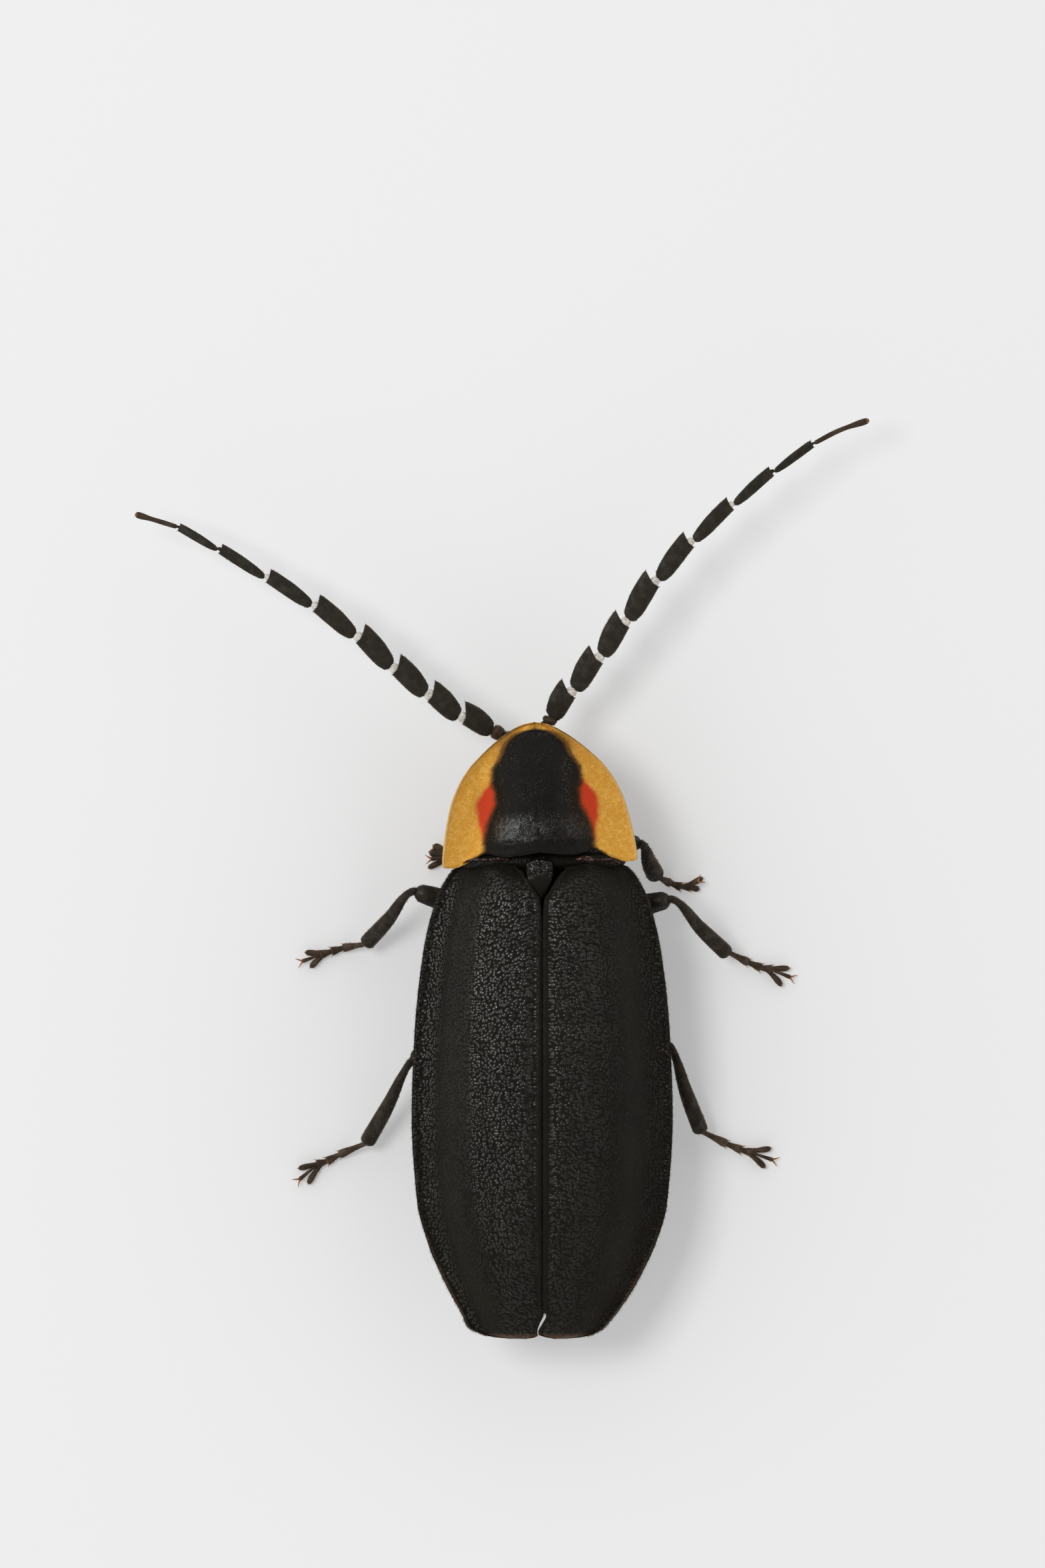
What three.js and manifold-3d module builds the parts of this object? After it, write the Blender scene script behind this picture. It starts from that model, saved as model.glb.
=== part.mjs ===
// A black firefly, life size, standing on six feet with its feelers spread, as a museum model.
//
// Millimetres. +Y runs forward along the insect, +X to its right and +Z up. The floor is z = 0, and the
// origin lies on it, under the middle of the model's box. The insect is worked out in its own frame, with
// x = 0 on the seam of the wing cases and y = 0 near their front edge, and is moved to the origin at the
// end. The forebody (shield, head and the fore part of the chest) is turned a little in that frame.
import * as THREE from "three";
import { mergeVertices } from "three/addons/utils/BufferGeometryUtils.js";
import Module from "manifold-3d";

const wasm = await Module();
wasm.setup();

const { abs, cos, hypot, max, min, PI, round, sign, sin } = Math;
const { degToRad, lerp } = THREE.MathUtils;
const UP = new THREE.Vector3(0, 0, 1);
const vec = (x = 0, y = 0, z = 0) => new THREE.Vector3(x, y, z);

// Driving dimensions
const CASE_LENGTH = 8.5; // a wing case, front edge to tip
const CASE_HALF_WIDTH = 2.33; // both wing cases together are twice this
const CASE_HEIGHT = 2.62; // top of the wing cases above the floor
const RIM_HEIGHT = 1.42; // their side rim above the floor
const SHIELD_LENGTH = 2.5; // head shield, along its middle
const SHIELD_HALF_WIDTH = 1.745;
const SHIELD_TURN = degToRad(2.35); // the forebody looks a little to the left
const SHIELD_PLACE = vec(-0.04, 0.07, 0); // its turning point, at its hind edge
const BELLY_HEIGHT = 0.58; // underside of the trunk above the floor
const GAP = 0.1; // between two pieces that touch

// Thicknesses
const CASE_THICKNESS = 0.48;
const RIM_THICKNESS = 0.26; // side rims of the wing cases and of the shield
const WING_THICKNESS = 0.4; // a hind wing, folded into a flat packet
const SHIELD_THICKNESS = 0.42;

// Lengthwise places
const CASE_FRONT = 0.08;
const CASE_TIP = CASE_FRONT - CASE_LENGTH;
const WING_FRONT = -0.75;
const WING_TIP = -7.9;
const CHEST_FRONT = 0.02;
const CHEST_BACK = -2.72;
const BELLY_FRONT = CHEST_BACK - GAP;
const BELLY_TIP = -7.95;

// A smooth curve through stations [place, value], which never swings past them.
function smooth(stations) {
  const last = stations.length - 1;
  const rise = (i) => (stations[i + 1][1] - stations[i][1]) / (stations[i + 1][0] - stations[i][0]);
  const slopes = stations.map((station, i) => {
    const before = rise(max(i - 1, 0));
    const after = rise(min(i, last - 1));
    return before * after > 0 ? (2 * before * after) / (before + after) : 0;
  });
  return (place) => {
    const x = min(max(place, stations[0][0]), stations[last][0]);
    let i = 0;
    while (i < last - 1 && x > stations[i + 1][0]) {
      i += 1;
    }
    const span = stations[i + 1][0] - stations[i][0];
    const t = (x - stations[i][0]) / span;
    const rest = 1 - t;
    const values = rest * rest * (1 + 2 * t) * stations[i][1] + t * t * (3 - 2 * t) * stations[i + 1][1];
    return values + span * t * rest * (rest * slopes[i] - t * slopes[i + 1]);
  };
}

// Equal steps drawn closer together towards both ends.
const eased = (t) => (1 - cos(PI * t)) / 2;

// A geometry with its positions alone, and its shared corners merged.
function plain(geometry) {
  const bare = geometry.clone();
  bare.deleteAttribute("normal");
  bare.deleteAttribute("uv");
  return mergeVertices(bare);
}

// A closed geometry with every corner moved by a function.
function shaped(geometry, move) {
  const result = plain(geometry);
  const spots = result.getAttribute("position");
  for (let i = 0; i < spots.count; i += 1) {
    const { x, y, z } = move(vec().fromBufferAttribute(spots, i));
    spots.setXYZ(i, x, y, z);
  }
  return result;
}

// The same geometry on the other side of the insect, with its faces turned to point out again.
function mirrored(geometry) {
  const result = shaped(geometry, (p) => vec(-p.x, p.y, p.z));
  const corners = result.index.array;
  for (let i = 0; i < corners.length; i += 3) {
    [corners[i], corners[i + 1]] = [corners[i + 1], corners[i]];
  }
  return result;
}

function toSolid(geometry) {
  const closed = plain(geometry);
  const mesh = new wasm.Mesh({
    numProp: 3,
    vertProperties: new Float32Array(closed.getAttribute("position").array),
    triVerts: new Uint32Array(closed.index.array),
  });
  return new wasm.Manifold(mesh);
}

// The geometry of a solid's largest closed surface
function toGeometry(solid) {
  const bodies = solid.decompose().sort((a, b) => abs(b.volume()) - abs(a.volume()));
  const mesh = bodies[0].getMesh();
  const result = new THREE.BufferGeometry();
  result.setAttribute("position", new THREE.BufferAttribute(new Float32Array(mesh.vertProperties), 3));
  result.setIndex(new THREE.BufferAttribute(new Uint32Array(mesh.triVerts), 1));
  return result;
}

const joined = (pieces) => toGeometry(pieces.map(toSolid).reduce((sum, piece) => sum.add(piece)));

const cutClear = (geometry, tools) =>
  toGeometry(tools.map(toSolid).reduce((rest, tool) => rest.subtract(tool), toSolid(geometry)));

// A sphere drawn out to half-sizes and set at a centre. Growing it makes the tool that cuts room for it.
function ball({ centre, half, grow = 0, sides = 14, rings = 9 }) {
  return shaped(new THREE.SphereGeometry(1, sides, rings), (p) =>
    vec(p.x * (half.x + grow), p.y * (half.y + grow), p.z * (half.z + grow)).add(centre));
}

// A barrel along the insect: at each place a rounded section with its own half-width, top and underside
function barrel({ back, front, halfWidth, top, under, squareness = 0.9, sides = 24, rings = 12 }) {
  return shaped(new THREE.CylinderGeometry(1, 1, 1, sides, rings), (p) => {
    const y = lerp(back, front, p.y + 0.5);
    const middle = (top(y) + under(y)) / 2;
    const x = sign(p.x) * abs(p.x) ** squareness * halfWidth(y);
    const z = middle + sign(p.z) * abs(p.z) ** squareness * (top(y) - middle);
    return vec(x, y, z);
  });
}

const heading = (from, to) => to.clone().sub(from).normalize();

// The direction in which a joint faces: halfway between the pieces before and after it. At a sharp bend
// each piece faces its own way instead, and nothing is returned.
function facing(before, joint, after) {
  const [coming, going] = [heading(before, joint), heading(joint, after)];
  return coming.dot(going) > -0.3 ? coming.add(going).normalize() : undefined;
}

// A limb piece: a bar along a curve, with its own width and height at each place. Its first and last faces
// turn to the directions in which its joints face, so that the pieces at a joint meet face to face.
function limb({ line, width, height = width, from, to, grow = 0, sides = 10, steps = 6 }) {
  const curve = new THREE.CatmullRomCurve3(line);
  const first = from ?? curve.getTangent(0);
  const last = to ?? curve.getTangent(1);
  const inset = GAP / 2 - grow;
  const reach = 0.35;
  return shaped(new THREE.CylinderGeometry(1, 1, 1, sides, steps), (p) => {
    const t = p.y + 0.5;
    const forward = curve.getTangent(t);
    const side = vec().crossVectors(forward, UP).normalize();
    const rise = vec().crossVectors(side, forward);
    const rim = vec();
    rim.addScaledVector(side, p.x * (width(t) / 2 + grow));
    rim.addScaledVector(rise, p.z * (height(t) / 2 + grow));
    const slide = (normal, depth) => (depth - rim.dot(normal)) / forward.dot(normal);
    const nearFirst = max(0, 1 - t / reach);
    const nearLast = max(0, 1 - (1 - t) / reach);
    const shift = slide(first, inset) * nearFirst + slide(last, -inset) * nearLast;
    return curve.getPoint(t).add(rim).addScaledVector(forward, shift);
  });
}

// Wing cases
const caseOuter = smooth([
  [CASE_TIP, 0.58],
  [-8.36, 0.91],
  [-8.22, 1.21],
  [-7.97, 1.38],
  [-7.66, 1.58],
  [-7.27, 1.79],
  [-6.73, 2.03],
  [-6.0, 2.23],
  [-4.46, CASE_HALF_WIDTH],
  [-3.0, 2.28],
  [-1.6, 2.135],
  [-0.63, 1.91],
  [-0.1, 1.64],
  [CASE_FRONT, 1.35],
]);
// How much further out the left tip lies than this, and the right one further in
const tipLean = smooth([[CASE_TIP, 0.09], [-8.22, 0.1], [-7.97, 0.06], [-7.6, 0.03], [-6.5, 0]]);
const caseInner = smooth([
  [CASE_TIP, 0.4],
  [-8.33, 0.2],
  [-8.15, 0.08],
  [-7.9, GAP / 2],
  [-1.0, GAP / 2],
  [-0.6, 0.06],
  [-0.2, 0.27],
  [0, 0.5],
  [CASE_FRONT, 0.8],
]);
const caseCrown = smooth([
  [CASE_TIP, 1.75],
  [-7.5, 2.15],
  [-6.0, 2.48],
  [-4.0, CASE_HEIGHT],
  [-2.0, 2.58],
  [-0.5, 2.36],
  [CASE_FRONT, 1.98],
]);
const caseRim = smooth([
  [CASE_TIP, 1.55],
  [-6.5, 1.48],
  [-4.0, RIM_HEIGHT],
  [-2.0, 1.44],
  [-0.6, 1.52],
  [CASE_FRONT, 1.6],
]);
// Across a wing case, from the seam to the rim: flat on top, steep at the side, then a gutter and a rim
const caseCurve = smooth([
  [0, 0.96],
  [0.15, 1],
  [0.45, 0.93],
  [0.65, 0.74],
  [0.8, 0.4],
  [0.9, 0.08],
  [0.94, 0],
  [1, 0.03],
]);
const CASE_COLUMNS = [0, 0.04, 0.08, 0.2, 0.28, 0.32, 0.36, 0.46, 0.56, 0.6, 0.64, 0.74, 0.82, 0.88, 0.94, 1];
const CASE_ROWS = 20;
const RIDGE_PLACES = [0.32, 0.6];
const RIDGE_HEIGHT = 0.035;
const SEAM_BEAD = 0.05; // its width, as a share of the wing case
const RIM_START = 0.6; // where the wing case starts to thin towards its rim, as the same share
const slimming = smooth([[CASE_TIP, 0.55], [-6.5, 0.8], [-4.5, 1], [-1, 1], [CASE_FRONT, 0.65]]);

const caseTop = (x, y) => lerp(caseRim(y), caseCrown(y), caseCurve(min(x / caseOuter(y), 1)));

function caseSlope(x, y) {
  const step = 0.02;
  return min(0, (caseTop(x, y) - caseTop(x - step, y)) / step);
}

function wingCase(lean) {
  const columns = CASE_COLUMNS.length - 1;
  return shaped(new THREE.BoxGeometry(1, 1, 1, columns, CASE_ROWS, 1), (p) => {
    const share = CASE_COLUMNS[round((p.x + 0.5) * columns)];
    const y = lerp(CASE_TIP, CASE_FRONT, eased(p.y + 0.5));
    const x = lerp(caseInner(y), caseOuter(y) + lean * tipLean(y), share);
    const top = vec(x, y, caseTop(x, y));
    if (p.z > 0) {
      const raised = share < SEAM_BEAD || RIDGE_PLACES.includes(share);
      return raised ? top.addScaledVector(UP, RIDGE_HEIGHT) : top;
    }
    const nearRim = max(0, (share - RIM_START) / (1 - RIM_START));
    const thickness = lerp(CASE_THICKNESS * slimming(y), RIM_THICKNESS, nearRim);
    const outward = vec(-caseSlope(x, y), 0, 1).normalize();
    return top.addScaledVector(outward, -thickness);
  });
}

// Hind wings, folded flat under the wing cases. The left one reaches across the middle, where they meet.
const wingReach = smooth([[WING_TIP, 0.5], [-7.0, 0.85], [-5.5, 1.15], [-2.5, 1.2], [WING_FRONT, 0.8]]);
const WING_SEAM = 0.16; // how far to the right of the middle the two meet
const WING_COLUMNS = [0, 0.2, 0.27, 0.34, 0.5, 0.57, 0.64, 0.8, 0.88, 1];
const WING_ROWS = 9;
const VEIN_PLACES = [0.27, 0.57, 0.88];
const VEIN_HEIGHT = 0.035;

const wingTop = (x, y) => {
  const drop = (CASE_THICKNESS * slimming(y) + GAP + VEIN_HEIGHT) * hypot(1, caseSlope(x, y));
  return caseTop(x, y) - drop;
};

function hindWing(seam) {
  const columns = WING_COLUMNS.length - 1;
  return shaped(new THREE.BoxGeometry(1, 1, 1, columns, WING_ROWS, 1), (p) => {
    const share = WING_COLUMNS[round((p.x + 0.5) * columns)];
    const y = lerp(WING_TIP, WING_FRONT, eased(p.y + 0.5));
    const x = lerp(seam, wingReach(y), share);
    const top = vec(x, y, wingTop(abs(x), y));
    if (p.z > 0) {
      return VEIN_PLACES.includes(share) ? top.addScaledVector(UP, VEIN_HEIGHT) : top;
    }
    return top.addScaledVector(UP, -WING_THICKNESS * slimming(y));
  });
}

// Head shield, in the forebody's frame: x = 0 on its middle, y = 0 at its hind edge. A dome rises on its
// dark middle, and its light sides lie flat.
const shieldHalfWidth = smooth([
  [-0.05, SHIELD_HALF_WIDTH - 0.02],
  [0.02, SHIELD_HALF_WIDTH],
  [0.58, 1.67],
  [1.07, 1.555],
  [1.39, 1.42],
  [1.71, 1.215],
  [1.965, 0.965],
  [2.19, 0.7],
  [2.39, 0.39],
  [SHIELD_LENGTH, 0.15],
]);
const shieldHindEdge = smooth([[0, 0.18], [0.35, 0.12], [0.55, 0.19], [0.66, 0.11], [0.8, 0], [1, -0.03]]);
const domeHalfWidth = smooth([
  [0, 1.06],
  [0.45, 0.98],
  [0.86, 0.85],
  [1.2, 0.77],
  [1.5, 0.8],
  [1.9, 0.68],
  [2.2, 0.46],
  [SHIELD_LENGTH, 0.12],
]);
const shieldCrown = smooth([
  [0, 2.4],
  [0.5, 2.46],
  [1.2, 2.38],
  [1.8, 2.14],
  [2.3, 1.82],
  [SHIELD_LENGTH, 1.72],
]);
const shieldRim = smooth([[0, 1.8], [0.8, 1.68], [1.6, 1.62], [SHIELD_LENGTH, 1.68]]);
const domeCurve = smooth([[0, 1], [0.35, 0.95], [0.65, 0.75], [0.9, 0.38], [1.1, 0.1], [1.3, 0]]);
const rimCurl = smooth([[0.8, 0], [1, 0.05]]);
const SHIELD_COLUMNS = [0, 0.14, 0.28, 0.4, 0.5, 0.6, 0.7, 0.8, 0.9, 1];
const SHIELD_ROWS = 13;

const shieldTop = (across, y) => {
  const x = across * shieldHalfWidth(y);
  return lerp(shieldRim(y), shieldCrown(y), domeCurve(x / domeHalfWidth(y))) + rimCurl(across);
};

function headShield() {
  const columns = SHIELD_COLUMNS.length - 1;
  return shaped(new THREE.BoxGeometry(1, 1, 1, 2 * columns, SHIELD_ROWS, 1), (p) => {
    const across = SHIELD_COLUMNS[round(abs(p.x) * 2 * columns)];
    const forward = sin((PI / 2) * (p.y + 0.5));
    const y = forward * SHIELD_LENGTH + shieldHindEdge(across) * (1 - forward) ** 2;
    const top = vec(sign(p.x) * across * shieldHalfWidth(y), y, shieldTop(across, y));
    if (p.z > 0) {
      return top;
    }
    const thickness = lerp(SHIELD_THICKNESS, RIM_THICKNESS, min(1, hypot(across, forward ** 3)));
    return top.addScaledVector(UP, -thickness);
  });
}

// Head, eyes and mouthparts, in the forebody's frame
const HEAD = { centre: vec(0, 1.58, 0.95), half: vec(0.64, 0.5, 0.4) };
const EYE = { centre: vec(0.56, 1.66, 0.95), half: vec(0.24, 0.28, 0.27) };
const MOUTH = { centre: vec(0, 1.84, 0.56), half: vec(0.26, 0.28, 0.13) };
const NECK = { front: 1.4, back: 1.0, halfWidth: 0.4, halfHeight: 0.26 };
const PALP_WIDTH = 0.14;
const JAW_WIDTH = 0.18;
const SOCKET_GAP = 0.06; // round an eye

const onLeft = (piece) => ({ ...piece, centre: vec(-piece.centre.x, piece.centre.y, piece.centre.z) });

function head() {
  const neck = barrel({
    back: NECK.back + GAP,
    front: NECK.front,
    halfWidth: () => NECK.halfWidth,
    top: () => HEAD.centre.z + NECK.halfHeight,
    under: () => HEAD.centre.z - NECK.halfHeight,
    sides: 16,
    rings: 1,
  });
  const sockets = [EYE, onLeft(EYE), MOUTH].map((piece) => ball({ ...piece, grow: SOCKET_GAP }));
  return cutClear(joined([ball({ ...HEAD, sides: 20, rings: 12 }), neck]), sockets);
}

function mouthparts() {
  const { x, y, z } = MOUTH.centre;
  const spot = (right, ahead, up) => vec(x + right, y + ahead, z + up);
  const palp = limb({
    line: [spot(0.14, 0.06, -0.04), spot(0.24, 0.2, -0.14), spot(0.27, 0.3, -0.3)],
    width: () => PALP_WIDTH,
    sides: 6,
    steps: 3,
  });
  const jaw = limb({
    line: [spot(0.16, 0.04, 0.02), spot(0.18, 0.26, 0), spot(0.05, 0.38, -0.02)],
    width: (t) => lerp(JAW_WIDTH, JAW_WIDTH / 3, t),
    sides: 6,
    steps: 4,
  });
  return joined([ball(MOUTH), palp, mirrored(palp), jaw, mirrored(jaw)]);
}

// Trunk
const trunkTop = (y) => {
  const above = (CASE_THICKNESS + WING_THICKNESS) * slimming(y) + 3 * GAP + 2 * VEIN_HEIGHT;
  return caseTop(0, y) - above;
};
// The front of the hind chest rises ahead of the folded wings, under the small plate between the cases.
const NECK_BACK = -0.5;
const NECK_TOP = 1.6;
const chestTop = (y) => (y > NECK_BACK ? NECK_TOP : trunkTop(y));

function foreChest(tools) {
  const [back, front] = [0.1, NECK.back];
  const block = barrel({
    back,
    front,
    halfWidth: smooth([[back, 0.94], [0.5, 0.92], [front, 0.6]]),
    top: smooth([[back, 1.86], [0.6, 1.9], [front, 1.5]]),
    under: smooth([[back, 0.62], [0.7, BELLY_HEIGHT], [front, 0.66]]),
    rings: 6,
  });
  return cutClear(block, tools);
}

function hindChest(tools) {
  const block = barrel({
    back: CHEST_BACK,
    front: CHEST_FRONT,
    halfWidth: smooth([[CHEST_BACK, 1.52], [-2.0, 1.58], [-1.0, 1.5], [-0.4, 1.15], [CHEST_FRONT, 0.92]]),
    top: chestTop,
    under: smooth([[CHEST_BACK, 0.6], [-1.8, 0.54], [-0.6, BELLY_HEIGHT], [CHEST_FRONT, 0.64]]),
    rings: 12,
  });
  return cutClear(block, tools);
}

const BELLY_RINGS = 7;
const RING_START = 0.93; // each ring starts at this share of its own full girth
const RING_LENGTH = 0.96; // and takes this share of the way to the next

function belly(tools) {
  const halfWidth = smooth([[BELLY_TIP, 0.34], [-7.4, 0.82], [-6.3, 1.22], [-4.6, 1.46], [BELLY_FRONT, 1.52]]);
  const under = smooth([[BELLY_TIP, 1.0], [-7, 0.82], [-4.5, 0.68], [BELLY_FRONT, 0.64]]);
  const steps = 2 * BELLY_RINGS - 1;
  const block = shaped(new THREE.CylinderGeometry(1, 1, 1, 24, steps), (p) => {
    const edge = round((0.5 - p.y) * steps);
    const atEnd = edge % 2;
    const ring = (edge - atEnd) / 2;
    const y = lerp(BELLY_FRONT, BELLY_TIP, (ring + atEnd * RING_LENGTH) / BELLY_RINGS);
    const girth = atEnd ? 1 : RING_START;
    const middle = (trunkTop(y) + under(y)) / 2;
    return vec(p.x * halfWidth(y) * girth, y, middle + p.z * (trunkTop(y) - middle) * girth);
  });
  return cutClear(block, tools);
}

// The small plate between the bases of the wing cases
function scutellum() {
  const [back, front] = [-0.52, 0.1];
  const halfWidth = smooth([[back, 0.03], [-0.3, 0.1], [-0.1, 0.2], [front, 0.24]]);
  const middleTop = (y) => lerp(2.32, 2.18, (y - back) / (front - back));
  const [dome, thickness] = [0.06, 0.38];
  return shaped(new THREE.BoxGeometry(1, 1, 1, 4, 5, 1), (p) => {
    const y = lerp(back, front, p.y + 0.5);
    const across = 2 * p.x;
    const z = p.z > 0 ? middleTop(y) - dome * across ** 2 : middleTop(y) - thickness;
    return vec(across * halfWidth(y), y, z);
  });
}

// Feelers: the blades' roots lie along a route, and each blade's length is its share of it.
const FEELERS = {
  left: {
    scape: [vec(-0.2, 2.16, 1.06), vec(-0.45, 2.26, 1.08), vec(-0.7, 2.36, 1.12)],
    pedicel: vec(-0.84, 2.42, 1.13),
    route: [
      vec(-0.89, 2.45, 1.14),
      vec(-1.48, 2.68, 1.22),
      vec(-2.69, 3.57, 1.34),
      vec(-4.1, 4.68, 1.38),
      vec(-5.78, 5.67, 1.3),
      vec(-6.5, 6.05, 1.2),
      vec(-7.27, 6.29, 1.1),
    ],
    lengths: [0.66, 0.78, 0.81, 0.91, 0.97, 0.98, 0.96, 0.83, 0.8],
    toothSide: 1,
  },
  right: {
    scape: [vec(-0.02, 2.24, 1.08), vec(0.05, 2.4, 1.09), vec(0.12, 2.55, 1.12)],
    pedicel: vec(0.145, 2.64, 1.13),
    route: [
      vec(0.16, 2.69, 1.14),
      vec(0.56, 3.18, 1.22),
      vec(1.52, 4.43, 1.34),
      vec(2.68, 5.84, 1.38),
      vec(4.12, 7.06, 1.3),
      vec(4.84, 7.55, 1.2),
      vec(5.82, 7.96, 1.1),
    ],
    lengths: [0.64, 0.79, 0.81, 0.92, 0.96, 0.96, 0.93, 0.85, 1.05],
    toothSide: -1,
  },
};
const bladeWidth = smooth([[0, 0.46], [3, 0.42], [4, 0.36], [5, 0.28], [6, 0.21], [7, 0.14]]);
const bladeThickness = smooth([[0, 0.32], [4, 0.28], [7, 0.18]]);
const BLADE_BEVEL = 0.05;
const BLADE_ROOT = 0.14; // how far a blade is sunk in the one before it
const SLANT = 0.27; // how far a blade's end lies beside the next root, as a share of its width

// One blade of a feeler, flat on the XY plane and growing along +Y, with its tooth towards +X
function blade(width, length, thickness, root) {
  const neck = min(0.08, width * 0.3);
  const outline = new THREE.Shape();
  outline.moveTo(neck, -root);
  outline.quadraticCurveTo(width * 0.46, 0, width * 0.47, length * 0.42);
  outline.lineTo(width * 0.47, length + width * 0.13);
  outline.lineTo(-width * 0.4, length - width * 0.08);
  outline.quadraticCurveTo(-width * 0.46, length * 0.3, -neck, -root);
  const bevel = min(BLADE_BEVEL, neck / 2);
  const extruded = new THREE.ExtrudeGeometry(outline, {
    depth: thickness - 2 * bevel,
    bevelThickness: bevel,
    bevelSize: bevel,
    bevelOffset: -bevel,
    bevelSegments: 1,
    curveSegments: 4,
  });
  return extruded.translate(0, 0, bevel - thickness / 2);
}

function flagellum({ route, lengths, toothSide }) {
  const curve = new THREE.CatmullRomCurve3(route);
  const total = lengths.reduce((sum, length) => sum + length);
  const roots = lengths.map((length, i) => lengths.slice(0, i).reduce((sum, part) => sum + part, 0) / total);
  const blades = lengths.slice(0, -1).map((length, i) => {
    const root = curve.getPointAt(roots[i]);
    const next = curve.getPointAt(roots[i + 1]);
    const ahead = heading(root, next);
    const toothward = vec().crossVectors(ahead, UP).normalize().multiplyScalar(toothSide);
    const end = next.addScaledVector(toothward, bladeWidth(i) * SLANT).addScaledVector(ahead, -0.05);
    const y = heading(root, end);
    const x = vec().crossVectors(y, UP).normalize();
    const z = vec().crossVectors(x, y);
    const flat = blade(bladeWidth(i), root.distanceTo(end), bladeThickness(i), i === 0 ? 0 : BLADE_ROOT);
    const axes = new THREE.Matrix4().makeBasis(x, y, z).setPosition(root);
    return shaped(toothSide > 0 ? flat : mirrored(flat), (p) => p.applyMatrix4(axes));
  });
  // The last joint is a slim bar with a blunt, slightly thicker tip.
  const lastRoot = roots.at(-1);
  const bar = limb({
    line: [lastRoot - 0.035, (lastRoot + 1) / 2, 1].map((place) => curve.getPointAt(place)),
    width: smooth([[0, 0.1], [0.4, 0.09], [0.85, 0.14], [1, 0.08]]),
    sides: 6,
    steps: 5,
  });
  return joined([...blades, bar]);
}

// The long first joint and the small second joint of a feeler
function scape({ scape: line, pedicel, route }) {
  const ahead = heading(line[2], route[0]);
  const stem = limb({
    line,
    width: smooth([[0, 0.2], [0.3, 0.26], [0.8, 0.34], [1, 0.28]]),
    to: ahead,
    sides: 8,
    steps: 4,
  });
  const knob = limb({ line: [line[1], line[2], pedicel], width: () => 0.2, to: ahead, sides: 8, steps: 3 });
  return joined([stem, knob]);
}

// Legs: where each joint lies, and on the floor the fork and the tip of each foot
const LEGS = {
  front_left: {
    root: vec(-0.3, 0.86, 0.9),
    hip: vec(-0.46, 0.66, 0.5),
    knee: vec(-1.3, 1.12, 0.98),
    ankle: vec(-1.06, 0.38, 0.3),
    fork: vec(-1.68, 0.17),
    tip: vec(-2.12, 0.12),
  },
  front_right: {
    root: vec(0.26, 0.86, 0.9),
    hip: vec(0.44, 0.66, 0.5),
    knee: vec(1.76, 0.34, 1.12),
    ankle: vec(2.1, -0.2, 0.3),
    fork: vec(2.55, -0.35),
    tip: vec(2.93, -0.26),
  },
  middle_left: {
    root: vec(-0.42, -0.86, 0.84),
    hip: vec(-0.78, -0.9, 0.5),
    knee: vec(-2.3, -0.46, 1.06),
    ankle: vec(-3.24, -1.39, 0.28),
    fork: vec(-3.95, -1.57),
    tip: vec(-4.37, -1.75),
  },
  middle_right: {
    root: vec(0.42, -0.86, 0.84),
    hip: vec(0.78, -0.92, 0.5),
    knee: vec(2.3, -0.6, 1.06),
    ankle: vec(3.4, -1.59, 0.28),
    fork: vec(4.08, -1.84),
    tip: vec(4.51, -2.03),
  },
  hind_left: {
    root: vec(-0.34, -2.34, 0.84),
    hip: vec(-0.86, -2.56, 0.52),
    knee: vec(-2.33, -3.54, 0.9),
    ankle: vec(-3.24, -4.99, 0.28),
    fork: vec(-4.04, -5.34),
    tip: vec(-4.4, -5.64),
  },
  hind_right: {
    root: vec(0.34, -2.34, 0.84),
    hip: vec(0.86, -2.5, 0.52),
    knee: vec(2.23, -3.18, 0.9),
    ankle: vec(2.92, -4.78, 0.28),
    fork: vec(3.75, -5.11),
    tip: vec(4.19, -5.27),
  },
};

const coxaWidth = smooth([[0, 0.34], [0.45, 0.54], [1, 0.4]]);
const femurWidth = smooth([[0, 0.34], [0.4, 0.44], [0.85, 0.4], [1, 0.34]]);
const tibiaWidth = smooth([[0, 0.24], [0.3, 0.28], [0.8, 0.4], [1, 0.34]]);
const BOW = vec(0, 0, 0.05); // how far a femur and a tibia bow upwards

const toeward = ({ ankle, fork }) => vec(fork.x, fork.y, ankle.z);

const coxaPlan = ({ root, hip, knee }) => ({
  line: [root, root.clone().lerp(hip, 0.5), hip],
  width: coxaWidth,
  to: facing(root, hip, knee),
  steps: 5,
});
const femurPlan = ({ root, hip, knee, ankle }) => ({
  line: [hip, hip.clone().lerp(knee, 0.5).add(BOW), knee],
  width: femurWidth,
  from: facing(root, hip, knee),
  to: facing(hip, knee, ankle),
});
const tibiaPlan = (leg) => ({
  line: [leg.knee, leg.knee.clone().lerp(leg.ankle, 0.5).add(BOW), leg.ankle],
  width: tibiaWidth,
  from: facing(leg.hip, leg.knee, leg.ankle),
  to: facing(leg.knee, leg.ankle, toeward(leg)),
});
// A tool that cuts room for a limb piece, with fewer faces than the piece
const room = (plan) => limb({ ...plan, grow: GAP, sides: 8, steps: 4 });

const coxa = (leg) => limb(coxaPlan(leg));
const femur = (leg) => limb(femurPlan(leg));
const tibia = (leg) => cutClear(limb(tibiaPlan(leg)), [room(femurPlan(leg))]);

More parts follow.
